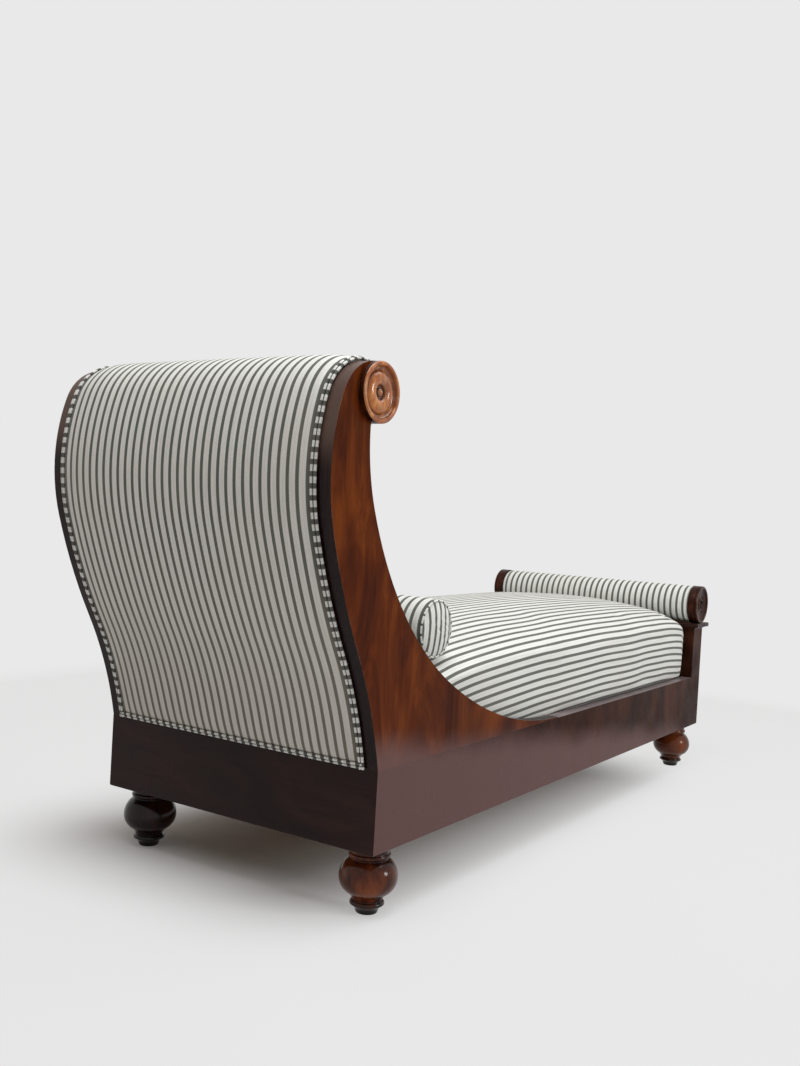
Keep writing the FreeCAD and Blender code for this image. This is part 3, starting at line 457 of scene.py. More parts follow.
@dataclass(frozen=True)
class CoarseWeave:
    """Jute webbing or hessian: thick crossed threads with gaps of shadow between them."""

    name: str
    thread_colour: Colour
    gap_colour: Colour
    thread: float

    def material(self) -> Finish:
        """Builds the finish."""
        wiring = Wiring.named(self.name)
        where = wiring.where()
        x, y, z = wiring.parts(where)
        weave = wiring.woven(wiring.math("ADD", x, z), y, self.thread)
        slub = wiring.noise(where, 240.0)
        colour = wiring.mix(wiring.spread(weave, -0.9, 0.2), self.gap_colour, self.thread_colour)
        colour = wiring.mix(wiring.spread(slub, 0.4, 0.8, 0.0, 0.4), colour, self.gap_colour)
        return wiring.finish(Base_Color=colour, Roughness=wiring.spread(slub, 0.2, 0.8, 0.85, 0.98),
                             Specular_IOR_Level=0.2, Normal=wiring.bump(weave, 0.6, 0.6 * MM))


def finish_all() -> Finishes:
    """Builds every finish of the daybed.

    Returns:
        The materials, by the short names that the classes know.
    """
    # Painted reflection: a cool purple-grey sheen of the pale floor, low on the panels and rails, reaching less
    # high towards the foot.
    painted_floor_reflection = Fade(shade(108, 84, 82), share=0.85, full_at=0.215, none_at=0.29, lean=0.12)
    # Painted sheen: the panels' edge band paler near its top, where it would catch the lamps.
    painted_top_sheen = Fade(shade(104, 83, 75), share=0.8, full_at=0.9, none_at=0.82)
    # Painted shade: the back's cloth warmer and darker low down, where it faces down and lies in shade.
    painted_low_shade = Fade(shade(150, 132, 112), share=0.3, full_at=0.34, none_at=0.78)
    # The feet's base rings darker towards the floor.
    darker_at_floor = Fade(shade(24, 21, 19), share=0.85, full_at=0.018, none_at=0.036, drift=0.008)
    foot = Wood("foot_polish", shade(40, 15, 8), shade(90, 40, 17), shade(130, 66, 29), figure_scale=9.0,
                figure_share=0.92, roughness=0.19, shine=0.14, polish=0.18, dirt=0.85, fade=darker_at_floor)
    kinds = {
        "panel": Wood("panel_veneer", shade(56, 20, 5), shade(86, 36, 9), shade(118, 58, 18),
                      figure_share=0.86, shine=0.03, polish=0.01, fade=painted_floor_reflection),
        "rail": Wood("rail_veneer", shade(34, 15, 9), shade(54, 27, 17), shade(78, 43, 28), figure_scale=7.0,
                     figure_share=0.8, roughness=0.3, shine=0.02, polish=0.0, fade=painted_floor_reflection),
        # Painted sheen: the rails' top, bottom and end faces get a paler purple-grey copy of the rail, as a lit
        # top would look.
        "ledge": Wood("rail_ledge_painted_sheen", shade(92, 80, 80), shade(112, 100, 101), shade(130, 118, 118),
                      polish=0.1),
        "apron": Wood("apron_veneer", shade(27, 13, 11), shade(38, 19, 16), shade(50, 28, 23),
                      grain=Grain.CROSSWISE, shine=0.12, polish=0.02),
        "band": Wood("panel_edge", shade(17, 9, 8), shade(29, 16, 13), shade(46, 29, 24),
                     figure_share=0.4, roughness=0.3, shine=0.12, polish=0.02, fade=painted_top_sheen),
        "worn": Wood("worn_arris", shade(64, 32, 18), shade(96, 54, 32), shade(130, 84, 56), wear=0.9),
        "post": Wood("post_veneer", shade(34, 15, 9), shade(56, 29, 19), shade(80, 45, 30), shine=0.03,
                     polish=0.0),
        "near_foot": foot,
        # Painted shade: the far feet get a darker copy of the foot polish, as they stand in shade.
        "far_foot": replace(foot, name="dark_foot_polish", dark=shade(14, 8, 6), body=shade(34, 17, 11),
                            light=shade(60, 31, 20)),
        "rosette": Wood("rosette_polish", shade(96, 42, 12), shade(162, 86, 31), shade(214, 140, 64),
                        figure_scale=26.0, figure_share=0.85, roughness=0.2, shine=0.25, polish=0.45,
                        dirt=0.97, wear=0.25),
        "cap": Wood("roll_cap_polish", shade(26, 10, 7), shade(50, 23, 14), shade(80, 39, 24),
                    figure_scale=30.0, figure_share=0.85, roughness=0.22, shine=0.08, polish=0.05, dirt=0.9),
        "beech": Wood("frame_beech", shade(150, 116, 78), shade(178, 142, 100), shade(200, 168, 126),
                      grain=Grain.CROSSWISE, figure_share=0.25, roughness=0.6, polish=0.0,
                      pore_depth=0.3 * MM),
        "back": Ticking("back_ticking", fade=painted_low_shade),
        "ticking": Ticking("ticking"),
        # Painted shade: the welts' stripe is darker than the ticking's, as the bottom welts sit in shade.
        "welt": Ticking("welt_ticking_painted_shade", stripe=shade(52, 54, 47), stripe_share=0.45),
        "piping": Ticking("piping_ticking", stripe_share=0.24),
        "webbing": CoarseWeave("jute_webbing", shade(168, 140, 98), shade(96, 76, 48), 2.6 * MM),
        "hessian": CoarseWeave("hessian_cloth", shade(176, 150, 110), shade(88, 70, 46), 1.8 * MM),
    }
    return {name: kind.material() for name, kind in kinds.items()}


def cloth_grid(columns: int, rows: int, place: Place, weave: Weave) -> Shape:
    """A grid bent into shape, with its cloth map.

    Args:
        columns: faces along the first direction.
        rows: faces along the second direction.
        place: the point for two shares from 0 to 1.
        weave: the cloth map for two shares and the first share of the face's middle.

    Returns:
        The bent grid.
    """
    made = bmesh.new()
    bmesh.ops.create_grid(made, x_segments=columns, y_segments=rows, size=0.5)
    layer = made.loops.layers.uv.new(CLOTH_MAP)
    for face in made.faces:
        middle = face.calc_center_median().x + 0.5
        for loop in face.loops:
            loop[layer].uv = weave(loop.vert.co.x + 0.5, loop.vert.co.y + 0.5, middle)
    for vertex in made.verts:
        vertex.co = place(vertex.co.x + 0.5, vertex.co.y + 0.5)
    return made


def stripes(width: float, length: float, start: float = 0.0, turned: bool = False) -> Weave:
    """A cloth map whose stripes run straight over a grid.

    Args:
        width: run of the map across the stripes.
        length: run of the map along them.
        start: where the map starts across the stripes.
        turned: whether the stripes follow the grid's first direction and not its second.

    Returns:
        The cloth map.
    """
    def weave(share: float, other_share: float, _: float) -> Pair:
        """The map at two shares of the grid."""
        across, along = (other_share, share) if turned else (share, other_share)
        return start + across * width, along * length

    return weave


def sealed(made: Shape) -> Shape:
    """Merges the seams of a shape, fills its open ends and turns its faces outwards.

    Args:
        made: the shape.

    Returns:
        The same shape.
    """
    bmesh.ops.remove_doubles(made, verts=made.verts, dist=MERGE)
    bmesh.ops.holes_fill(made, edges=[edge for edge in made.edges if edge.is_boundary], sides=0)
    bmesh.ops.recalc_face_normals(made, faces=made.faces)
    return made


def piece_from(name: str, made: Shape, finish: Finish, sharp: float = 50.0) -> Piece:
    """A smooth-shaded object from a finished shape.

    Args:
        name: the piece's name.
        made: the shape, which is freed.
        finish: its material.
        sharp: the angle in degrees past which an edge stays crisp.

    Returns:
        The new object, linked to the scene.
    """
    mesh = bpy.data.meshes.new(name)
    made.to_mesh(mesh)
    made.free()
    mesh.shade_smooth()
    mesh.set_sharp_from_angle(angle=math.radians(sharp))
    mesh.materials.append(finish)
    made_object = bpy.data.objects.new(name, mesh)
    bpy.context.scene.collection.objects.link(made_object)
    return made_object


def settle(piece: Piece, *nodes: str, slot: str = "ticking", body: str = "root") -> None:
    """Hands a finished piece to its body and to the solids that it stands for.

    Args:
        piece: the piece.
        nodes: the solids that it stands for.
        slot: its kind of material, which is not used.
        body: the body that it moves with.
    """
    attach(piece, body)
    if nodes:
        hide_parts(*nodes)
    LOG.info("%s: %d faces on %s", piece.name, len(piece.data.polygons), body)


def thicken(sheet: Piece, thick: float) -> None:
    """Gives a sheet of cloth its thickness, half to each side.

    Args:
        sheet: the sheet.
        thick: its thickness in metres.
    """
    solid = sheet.modifiers.new("cloth_thickness", "SOLIDIFY")
    solid.thickness = thick
    solid.offset = 0.0


def middle_of(node: str) -> Vector:
    """The middle of a node's box."""
    low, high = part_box(node)
    return (low + high) / 2


def swell(piece: Piece, held: Callable[[Vector], bool], pressure: float, most: float) -> None:
    """Fills a closed cover as its stuffing does, by a short simulation whose result is kept.

    Args:
        piece: the closed cover.
        held: says which points are tacked and stay.
        pressure: the push of the stuffing.
        most: the furthest that a point may move.
    """
    scene = bpy.context.scene
    tacked = piece.vertex_groups.new(name="tacked")
    tacked.add([v.index for v in piece.data.vertices if held(v.co)], 1.0, "REPLACE")
    stuffing = piece.modifiers.new("stuffing", "CLOTH")
    settings = stuffing.settings
    settings.quality = 4
    settings.tension_stiffness = settings.compression_stiffness = 20.0
    settings.bending_stiffness = 2.0
    settings.use_pressure = True
    settings.uniform_pressure_force = pressure
    settings.vertex_group_mass = tacked.name
    settings.effector_weights.gravity = 0.0
    for step in range(1, SIMULATED_FRAMES + 1):
        scene.frame_set(step)
    filled = piece.evaluated_get(bpy.context.evaluated_depsgraph_get())
    moved = [vertex.co.copy() for vertex in filled.data.vertices]
    piece.modifiers.remove(stuffing)
    scene.frame_set(1)
    for vertex, target in zip(piece.data.vertices, moved):
        push = target - vertex.co
        if push.length > most:
            push *= most / push.length
        vertex.co += push
    piece.data.update()


class Turning:
    """Half the outline of a turned piece, as radius and height, drawn like a turner's template."""

    def __init__(self, radius: float, height: float) -> None:
        """Starts the outline, in millimetres."""
        self.points = [Vector((radius, height))]

    def to(self, *steps: Pair) -> "Turning":
        """Straight cuts to the next points."""
        self.points += [Vector(step) for step in steps]
        return self

    def round_to(self, radius: float, height: float, bend: float, steps: int = 9) -> "Turning":
        """A round cut to the next point.

        Args:
            radius: radius of the end point.
            height: height of the end point.
            bend: radius of the cut, positive where it bulges to the left of the way it runs.
            steps: straight bits that the cut is made of.

        Returns:
            The outline itself.
        """
        start, end = self.points[-1], Vector((radius, height))
        chord = end - start
        across = Vector((-chord.y, chord.x)).normalized()
        rise = math.sqrt(max(bend * bend - chord.length_squared / 4, 0.0))
        centre = (start + end) / 2 - across * math.copysign(rise, bend)
        first = start - centre
        sweep = first.angle_signed(end - centre)
        for step in range(1, steps + 1):
            turned = Matrix.Rotation(-sweep * step / steps, 2) @ first
            self.points.append(centre + turned)
        return self

    def eased(self, ease: float) -> list[Vector]:
        """The outline with each corner softened.

        Args:
            ease: how far from a corner its softening starts, in millimetres.

        Returns:
            The points, in metres.
        """
        out = [self.points[0]]
        for before, corner, after in zip(self.points, self.points[1:], self.points[2:]):
            if (corner - before).angle(after - corner, 0.0) < math.radians(20):
                out.append(corner)
                continue
            back = min(ease, (corner - before).length * 0.45)
            on = min(ease, (after - corner).length * 0.45)
            first = corner + (before - corner).normalized() * back
            last = corner + (after - corner).normalized() * on
            for share in (0.0, 0.25, 0.5, 0.75, 1.0):
                out.append(first.lerp(corner, share).lerp(corner.lerp(last, share), share))
        out.append(self.points[-1])
        return [point * MM for point in out]

    def turned(self, ease: float, steps: int, stand: Matrix) -> Shape:
        """Spins the outline about its own axis.

        Args:
            ease: softening of the corners, in millimetres.
            steps: faces round the piece.
            stand: where the axis stands on the daybed.

        Returns:
            The closed turned shape.
        """
        made = bmesh.new()
        points = [made.verts.new((point.x, 0, point.y)) for point in self.eased(ease)]
        edges = [made.edges.new(pair) for pair in zip(points, points[1:])]
        bmesh.ops.spin(made, geom=points + edges, cent=(0, 0, 0), axis=(0, 0, 1), angle=FULL_TURN,
                       steps=steps, use_merge=True)
        bmesh.ops.transform(made, matrix=stand, verts=made.verts)
        return sealed(made)


def outward(side: Side, node: str, depth: float) -> Matrix:
    """Where a turned piece stands whose axis points out of a long side.

    Args:
        side: the long side.
        node: the solid in whose place it stands.
        depth: the piece's own depth, in millimetres.

    Returns:
        The stand.
    """
    middle, outside = middle_of(node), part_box(node)[1].y
    place = Matrix.Translation((middle.x, (outside - depth * MM) * side.value, middle.z))
    return place @ Matrix.Rotation(-side.value * math.pi / 2, 4, "X")


def around(axis: Vector, turn: float, out: float, y: float) -> Vector:
    """A point round an axis that runs across the daybed, with its turn, its distance out and its Y."""
    return axis + Vector((math.cos(turn) * out, y, math.sin(turn) * out))


def smooth_between(stations: Sequence[tuple[float, ...]], at: float) -> list[float]:
    """The values at a place between stations, on smooth curves through them.

    Args:
        stations: rows that start with their place, in rising order.
        at: the place.

    Returns:
        The row's other values there.
    """
    places = [row[0] for row in stations]
    at = min(max(at, places[0]), places[-1])
    i = max(n for n in range(len(places) - 1) if places[n] <= at or n == 0)
    before, start, end, after = (stations[max(i - 1, 0)], stations[i], stations[i + 1],
                                 stations[min(i + 2, len(stations) - 1)])
    gap = end[0] - start[0]
    t = (at - start[0]) / gap
    values = []
    for k in range(1, len(start)):
        rise_in = (end[k] - before[k]) / (end[0] - before[0]) * gap
        rise_out = (after[k] - start[k]) / (after[0] - start[0]) * gap
        values.append((2 * t ** 3 - 3 * t ** 2 + 1) * start[k] + (t ** 3 - 2 * t ** 2 + t) * rise_in
                      + (3 * t ** 2 - 2 * t ** 3) * end[k] + (t ** 3 - t ** 2) * rise_out)
    return values


@dataclass(frozen=True)
class BackArc:
    """One arc of the back's side view; bulge is 1 where it is full and -1 where it is hollow."""

    centre: Vector
    radius: float
    first: float
    last: float
    bulge: int

    @property
    def length(self) -> float:
        """The arc's length."""
        return abs(self.last - self.first) * self.radius


@dataclass
class BackLine:
    """The back's S-curve and scroll head in the XZ plane, as tangent arcs from the rail upwards."""

    rail_top: float = 281 * MM
    waist_height: float = 493 * MM
    middle_height: float = 696 * MM
    nape_height: float = 927 * MM
    middle_radius: float = 1119 * MM
    nape_radius: float = 358 * MM
    crest_radius: float = 98 * MM
    head_radius: float = 53 * MM
    head_setback: float = -70.5 * MM
    head_height: float = 938.6 * MM
    head_wrap: float = math.radians(190)

    def __post_init__(self) -> None:
        """Works the arcs out from the heights and radii."""
        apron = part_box("head_apron")[0].x
        self.head = Vector((apron + self.head_setback, self.head_height))
        top = self.head + Vector((0, self.head_radius))
        crest = top - Vector((0, self.crest_radius))
        nape_point = self.at_height(crest, self.crest_radius, self.nape_height)
        nape = nape_point + (crest - nape_point).normalized() * self.nape_radius
        middle_point = self.at_height(nape, self.nape_radius, self.middle_height)
        middle = middle_point + (nape - middle_point).normalized() * self.middle_radius
        waist_point = self.at_height(middle, self.middle_radius, self.waist_height)
        out = (waist_point - middle).normalized()
        foot = Vector((apron, self.rail_top))
        reach = foot - waist_point
        waist_radius = reach.length_squared / (2 * reach.dot(out))
        waist = waist_point + out * waist_radius
        self.arcs = [
            self.arc(waist, waist_radius, foot, waist_point, -1),
            self.arc(middle, self.middle_radius, waist_point, middle_point, 1),
            self.arc(nape, self.nape_radius, middle_point, nape_point, 1),
            self.arc(crest, self.crest_radius, nape_point, top, 1),
            BackArc(self.head, self.head_radius, math.pi / 2, math.pi / 2 - self.head_wrap, 1),
        ]
        self.length = sum(arc.length for arc in self.arcs)

    @staticmethod
    def at_height(centre: Vector, radius: float, height: float) -> Vector:
        """The point of a circle's head-end half at a height."""
        rise = height - centre.y
        return Vector((centre.x - math.sqrt(radius ** 2 - rise ** 2), height))

    @staticmethod
    def arc(centre: Vector, radius: float, start: Vector, end: Vector, bulge: int) -> BackArc:
        """The short arc between two points of a circle.

        Args:
            centre: the circle's centre.
            radius: its radius.
            start: where the arc starts.
            end: where it ends.
            bulge: 1 where the back is full and -1 where it is hollow.

        Returns:
            The arc.
        """
        first = math.atan2(start.y - centre.y, start.x - centre.x) % FULL_TURN
        last = math.atan2(end.y - centre.y, end.x - centre.x) % FULL_TURN
        if last - first > math.pi:
            last -= FULL_TURN
        if first - last > math.pi:
            last += FULL_TURN
        return BackArc(centre, radius, first, last, bulge)

    def point(self, distance: float, out: float, y: float) -> Vector:
        """A point of the curve.

        Args:
            distance: length along the curve from the rail's top.
            out: how far the point stands off the curve.
            y: how far it stands from the middle plane.

        Returns:
            The point on the daybed.
        """
        for arc in self.arcs:
            if distance <= arc.length or arc is self.arcs[-1]:
                break
            distance -= arc.length
        turn = arc.first + (arc.last - arc.first) * distance / arc.length
        ray = Vector((math.cos(turn), math.sin(turn)))
        spot = arc.centre + ray * (arc.radius + out * arc.bulge)
        return Vector((spot.x, y, spot.y))


@dataclass
class Cord:
    """A covered cord or welt: a round of striped cloth along a path."""

    radius: float = 2.8 * MM
    sides: int = 10
    step: float = 6 * MM
    nudge: float = 0.002

    def build(self, name: str, path: Callable[[float], Vector], length: float, finish: Finish,
              closed: bool = False) -> Piece:
        """Makes the cord.

        Args:
            name: the piece's name.
            path: the cord's middle line, for a share of its length.
            length: the real length.
            finish: its cloth.
            closed: whether the cord runs round in a ring.

        Returns:
            The finished cord.
        """
        def place(share: float, round_share: float) -> Vector:
            """A point of the cord's skin.

            Args:
                share: how far along the cord.
                round_share: how far round it.

            Returns:
                The point.
            """
            here = path(share)
            before, after = share - self.nudge, share + self.nudge
            before, after = (before % 1.0, after % 1.0) if closed else (max(before, 0.0), min(after, 1.0))
            run = (path(after) - path(before)).normalized()
            over = run.cross(Vector((0, 1, 0)))
            if over.length < 0.3:
                over = run.cross(Vector((0, 0, 1)))
            over.normalize()
            beside = run.cross(over)
            turn = round_share * FULL_TURN
            return here + (over * math.cos(turn) + beside * math.sin(turn)) * self.radius

        columns = max(8, round(length / self.step))
        made = cloth_grid(columns, self.sides, place, stripes(length, FULL_TURN * self.radius))
        return piece_from(name, sealed(made), finish, 80.0)


@dataclass
class HeadEnd:
    """The upholstered head end: outer cover, double welts, and the pad that one leans on."""

    line: BackLine
    half_width: float = 309.5 * MM
    edge_rise: float = 2.5 * MM
    crown: float = 11 * MM
    crown_run: float = 24 * MM
    depth: float = 13 * MM
    outer_welt: float = 311 * MM
    inner_welt: float = 305 * MM

    def rise(self, distance: float, y: float) -> float:
        """How far the cover stands off the frame at a length up the back and a place across it.

        Args:
            distance: length up the back.
            y: place across it.

        Returns:
            The height over the frame.
        """
        across = 1 - math.exp(-(self.half_width - min(abs(y), self.half_width)) / self.crown_run)
        up = 1 - math.exp(-distance / self.crown_run)
        return self.edge_rise + self.crown * across * up

    def outer_cover(self, finish: Finish) -> None:
        """The cloth and its stuffing, from the apron up the back and round the roller.

        Args:
            finish: the cloth.
        """
        def place(share: float, width_share: float) -> Vector:
            """A point of the cover's face."""
            y = (width_share * 2 - 1) * self.half_width
            distance = share * self.line.length
            ripple = noise.noise(Vector((y * 7, share * 5, 3.0))) * 0.5 * MM * min(1.0, distance / 0.05)
            return self.line.point(distance, self.rise(distance, y) + ripple, y)

        up_the_back = stripes(2 * self.half_width, self.line.length, -self.half_width, turned=True)
        made = cloth_grid(120, 64, place, up_the_back)
        bmesh.ops.recalc_face_normals(made, faces=made.faces)
        bmesh.ops.solidify(made, geom=made.faces, thickness=self.depth)
        cover = piece_from("outer_back_cloth", sealed(made), finish)
        settle(cover, "outer_back_cover")

    def welts(self, finish: Finish) -> None:
        """The two cords that cover the tacks down both edges and along the foot of the back.

        Args:
            finish: the cloth.
        """
        cord = Cord()
        proud = cord.radius * 0.8
        for side in Side:
            for number, y in enumerate((self.outer_welt, self.inner_welt), start=1):
                def path(share: float, y: float = y * side.value) -> Vector:
                    """The cord's line up the edge of the back."""
                    distance = share * self.line.length
                    return self.line.point(distance, self.rise(distance, y) + proud, y)

                welt = cord.build(f"{side.word}_back_welt_{number}", path, self.line.length, finish)
                settle(welt)
        for number, height in enumerate((2.9 * MM, 9.1 * MM), start=1):
            def across(share: float, height: float = height) -> Vector:
                """The cord's line along the apron."""
                y = (share * 2 - 1) * self.outer_welt
                return self.line.point(height, self.rise(height, y) + proud, y)

            welt = cord.build(f"apron_welt_{number}", across, self.outer_welt * 2, finish)
            settle(welt)

    def inner_pad(self, finish: Finish) -> None:
        """The pad that one leans on, from under the scroll down behind the seat.

        Args:
            finish: the cloth.
        """
        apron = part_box("head_apron")[0].x
        front_share = 0.7
        front = ((0.0, -96, 880), (0.18, -76, 790), (0.42, -46, 663), (0.7, 12, 520), (0.86, 44, 440),
                 (1.0, 66, 346))
        back = ((0.0, -122, 868), (0.4, -96, 640), (0.75, 8, 440), (1.0, 56, 346))

        def place(share: float, round_share: float) -> Vector:
            """A point of the pad's skin.

            Args:
                share: how far across the pad.
                round_share: how far down its front and up its back.

            Returns:
                The point.
            """
            y = (share * 2 - 1) * self.half_width
            full = 1 - abs(share * 2 - 1) ** 6
            if round_share <= front_share:
                along = round_share / front_share
                x, z = smooth_between(front, along)
                crown = 15 * full * math.sin(math.pi * min(1.0, along * 1.02 + 0.04)) ** 0.5
                x, z = x + crown * 0.94, z + crown * 0.34
            else:
                x, z = smooth_between(back, 1 - (round_share - front_share) / (1 - front_share))
            return Vector((apron + x * MM, y, z * MM))

        down_the_pad = stripes(2 * self.half_width, 1.0, -self.half_width)
        pad = piece_from("inner_back_cloth", sealed(cloth_grid(48, 60, place, down_the_pad)), finish)
        swell(pad, lambda at: abs(at.y) > self.half_width - 2 * MM, pressure=1.2, most=5 * MM)
        settle(pad, "inner_back_pad")

    def build(self, finishes: Finishes) -> None:
        """Makes every upholstered piece of the head end.

        Args:
            finishes: every finish, by its short name.
        """
        self.outer_cover(finishes["back"])
        self.welts(finishes["welt"])
        self.inner_pad(finishes["ticking"])


@dataclass
class Bolster:
    """The loose bolster: a round cushion with a flat disc and a piping at each end."""

    radius: float = 60 * MM
    rim_radius: float = 55.5 * MM
    half_length: float = 284 * MM
    dome: float = 9 * MM
    taper: float = 22 * MM
    disc_share: float = 0.125
    disc_stripe_shift: float = 4 * MM
    piping_radius: float = 2.1 * MM

    def __post_init__(self) -> None:
        """Finds the axis from the solid."""
        self.axis = middle_of("bolster")

    def profile(self, share: float) -> Pair:
        """The bolster's outline.

        Args:
            share: how far from the near middle to the far middle.

        Returns:
            The place along the axis and the distance from it.
        """
        disc = self.disc_share
        side = -1 if share < 0.5 else 1
        from_end = min(share, 1 - share)
        if from_end <= disc:
            out = from_end / disc
            return side * (self.half_length + self.dome * (1 - out ** 2.4)), out * self.rim_radius
        along = (share - disc) / (1 - 2 * disc) * 2 - 1
        y = along * self.half_length
        inside = self.half_length - abs(y)
        full = 1 - math.exp(-inside / (self.taper / 2))
        return y, self.rim_radius + (self.radius - self.rim_radius) * full

    def build(self, finishes: Finishes) -> None:
        """Makes the cushion and its pipings.

        Args:
            finishes: every finish, by its short name.
        """
        def place(share: float, round_share: float) -> Vector:
            """A point of the cushion's skin."""
            y, out = self.profile(share)
            turn = round_share * FULL_TURN
            pucker = 0.4 * MM * math.sin(turn * 17) * math.exp(-(self.half_length - abs(y)) / 0.02)
            return around(self.axis, turn, out - pucker, y)

        def weave(share: float, round_share: float, middle: float) -> Pair:
            """Stripes round the cushion, and upright ones on its ends."""
            y, out = self.profile(share)
            turn = round_share * FULL_TURN
            if min(middle, 1 - middle) < self.disc_share:
                return math.cos(turn) * out + self.disc_stripe_shift, math.sin(turn) * out
            return y, turn * self.radius

        made = sealed(cloth_grid(120, 60, place, weave))
        cushion = piece_from("bolster_cushion", made, finishes["ticking"], 75.0)
        rim, under = self.half_length - 1 * MM, self.axis.z - 50 * MM
        swell(cushion, lambda at: rim < abs(at.y) < rim + 4 * MM or at.z < under, pressure=1.5, most=4 * MM)
        settle(cushion, "bolster", body="bolster")
        for side in Side:
            def path(share: float, side: Side = side) -> Vector:
                """The piping's ring."""
                reach = self.rim_radius + 1 * MM
                return around(self.axis, share * FULL_TURN, reach, side.value * self.half_length)

            cord = Cord(radius=self.piping_radius)
            piping = cord.build(f"{side.word}_bolster_piping", path, FULL_TURN * self.rim_radius,
                                finishes["piping"], closed=True)
            settle(piping, body="bolster")


@dataclass
class Seat:
    """The crowned seat: straight tucked foot, full sides, round shoulders and a hollow for the bolster."""

    bolster: Bolster
    tuck: float = 304 * MM
    ledge: float = 281 * MM
    squared_until: float = 1640.0
    columns: int = 150
    half_rows: int = 34
    shoulder_rows: int = 20
    side_rows: int = 10
    level_rows: int = 14
    crease_at: float = 575 * MM
    crease_run: float = 75 * MM
    crease_depth: float = 6 * MM
    # place from the apron, half width, side height and crown in millimetres, and the shoulder's fullness
    stations: tuple[tuple[float, ...], ...] = (
        (75, 306, 350, 396, 0.47),
        (92, 308, 372, 424, 0.47),
        (130, 309, 392, 440, 0.47),
        (200, 309, 398, 454, 0.47),
        (262, 309, 402, 470, 0.48),
        (330, 309.2, 411, 486, 0.49),
        (450, 309.3, 420, 504, 0.49),
        (600, 309.4, 426, 516, 0.49),
        (745, 309.8, 429, 522, 0.48),
        (880, 314.5, 431, 525, 0.47),
        (1050, 317.5, 432, 526, 0.48),
        (1250, 318, 433, 524, 0.5),
        (1470, 318, 434, 514, 0.54),
        (1600, 317.8, 434, 503, 0.6),
        (1660, 317, 432, 491, 0.66),
        (1682, 315.5, 424, 472, 0.7),
        (1693, 312, 400, 440, 0.7),
        (1698, 308, 352, 404, 0.7),
    )

    def section(self, at: float) -> list[Pair]:
        """Half a section of the seat.

        Args:
            at: length from the apron, in millimetres.

        Returns:
            The points from the middle of the crown down to the tucked foot, as width and height.
        """
        half, side, crown, full = smooth_between(self.stations, at)
        points = []
        shoulder = side + (0.3 + 0.45 * full) * (crown - side)
        for step in range(self.shoulder_rows + 1):
            t = step / self.shoulder_rows
            one = 1 - t
            y = 3 * one * one * t * full * half + 3 * one * t * t * half + t ** 3 * half
            z = one * one * (one + 3 * t) * crown + 3 * one * t * t * shoulder + t ** 3 * side
            points.append((y * MM, z * MM))
        for step in range(1, self.side_rows + 1):
            t = step / self.side_rows
            points.append(((half - 5 * t ** 3) * MM, side * MM * (1 - t) + (self.ledge + 5 * MM) * t))
        points.append((self.tuck + 1 * MM, self.ledge + 1 * MM))
        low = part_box("seat_pad")[0].z
        points += [(self.tuck, self.ledge - 8 * MM), (self.tuck, low + 3 * MM), (self.tuck - 4 * MM, low)]
        return points

    def build(self, finishes: Finishes) -> None:
        """Makes the seat cushion.

        Args:
            finishes: every finish, by its short name.
        """
        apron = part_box("head_apron")[0].x
        first, last = self.stations[0][0], self.stations[-1][0]
        columns, half_rows, level_rows = self.columns, self.half_rows, self.level_rows
        sections = [self.section(first + (last - first) * i / columns) for i in range(columns + 1)]
        squared = round((self.squared_until - first) / (last - first) * columns)
        girths = []
        for row in sections:
            girth = [0.0]
            for before, after in zip(row, row[1:]):
                girth.append(girth[-1] + math.dist(before, after))
            girths.append(girth)

        def index(share: float, round_share: float) -> tuple[int, int, int]:
            """The section, the point of it and the side for two shares."""
            step = round(round_share * 2 * half_rows) - half_rows
            return round(share * columns), min(abs(step), len(sections[0]) - 1), (1 if step > 0 else -1)

        def place(share: float, round_share: float) -> Vector:
            """A point of the seat's skin.

            Args:
                share: how far from the head end.
                round_share: how far from side to side.

            Returns:
                The point.
            """
            column, row, side = index(share, round_share)
            y, z = sections[column][row]
            x = apron + (first + (last - first) * share) * MM
            if row < self.shoulder_rows + self.side_rows:
                z += noise.noise(Vector((x * 4.5, side * y * 3, z * 5))) * 1.6 * MM
                y += noise.noise(Vector((x * 6, z * 9, side * 2.0))) * 1.5 * MM * (row > level_rows)
                crease = math.exp(-((x - self.crease_at) / self.crease_run) ** 2)
                y -= self.crease_depth * crease * min(1.0, row / level_rows)
            dx, radius = x - self.bolster.axis.x, self.bolster.radius + 0.8 * MM
            if abs(dx) < radius and y < self.bolster.half_length + 12 * MM:
                under = self.bolster.axis.z - math.sqrt(radius ** 2 - dx ** 2)
                z = min(z, under)
            return Vector((x, side * y, z))

        def weave(share: float, round_share: float, _: float) -> Pair:
            """Lengthwise stripes, at their girth from the middle of the crown."""
            column, row, side = index(share, round_share)
            girth = girths[min(column, squared)][row]
            x = share * (last - first) * MM
            drift = noise.noise(Vector((x * 3.1, 7.0, side * 1.0))) * 5 * MM * min(1.0, girth / 0.3)
            return side * (girth + drift), x

        made = cloth_grid(columns, 2 * half_rows, place, weave)
        seat = piece_from("seat_cushion", sealed(made), finishes["ticking"])
        swell(seat, self.held(apron + first * MM, apron + last * MM), pressure=0.9, most=2.5 * MM)
        settle(seat, "seat_pad")

    def held(self, head_end: float, foot_end: float) -> Callable[[Vector], bool]:
        """Says which points of the seat are tacked or pressed down.

        Args:
            head_end: X of the seat's head end.
            foot_end: X of its foot end.

        Returns:
            The test, which takes a point.
        """
        panel_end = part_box("near_scroll_panel")[1].x

        def test(at: Vector) -> bool:
            """Whether this point stays."""
            under_bolster = abs(at.x - self.bolster.axis.x) < self.bolster.radius + 20 * MM
            beside_panel = at.x < panel_end and abs(at.y) > 300 * MM
            ends = at.x < head_end + 20 * MM or at.x > foot_end - 12 * MM
            return at.z < self.ledge + 7 * MM or under_bolster or beside_panel or ends

        return test


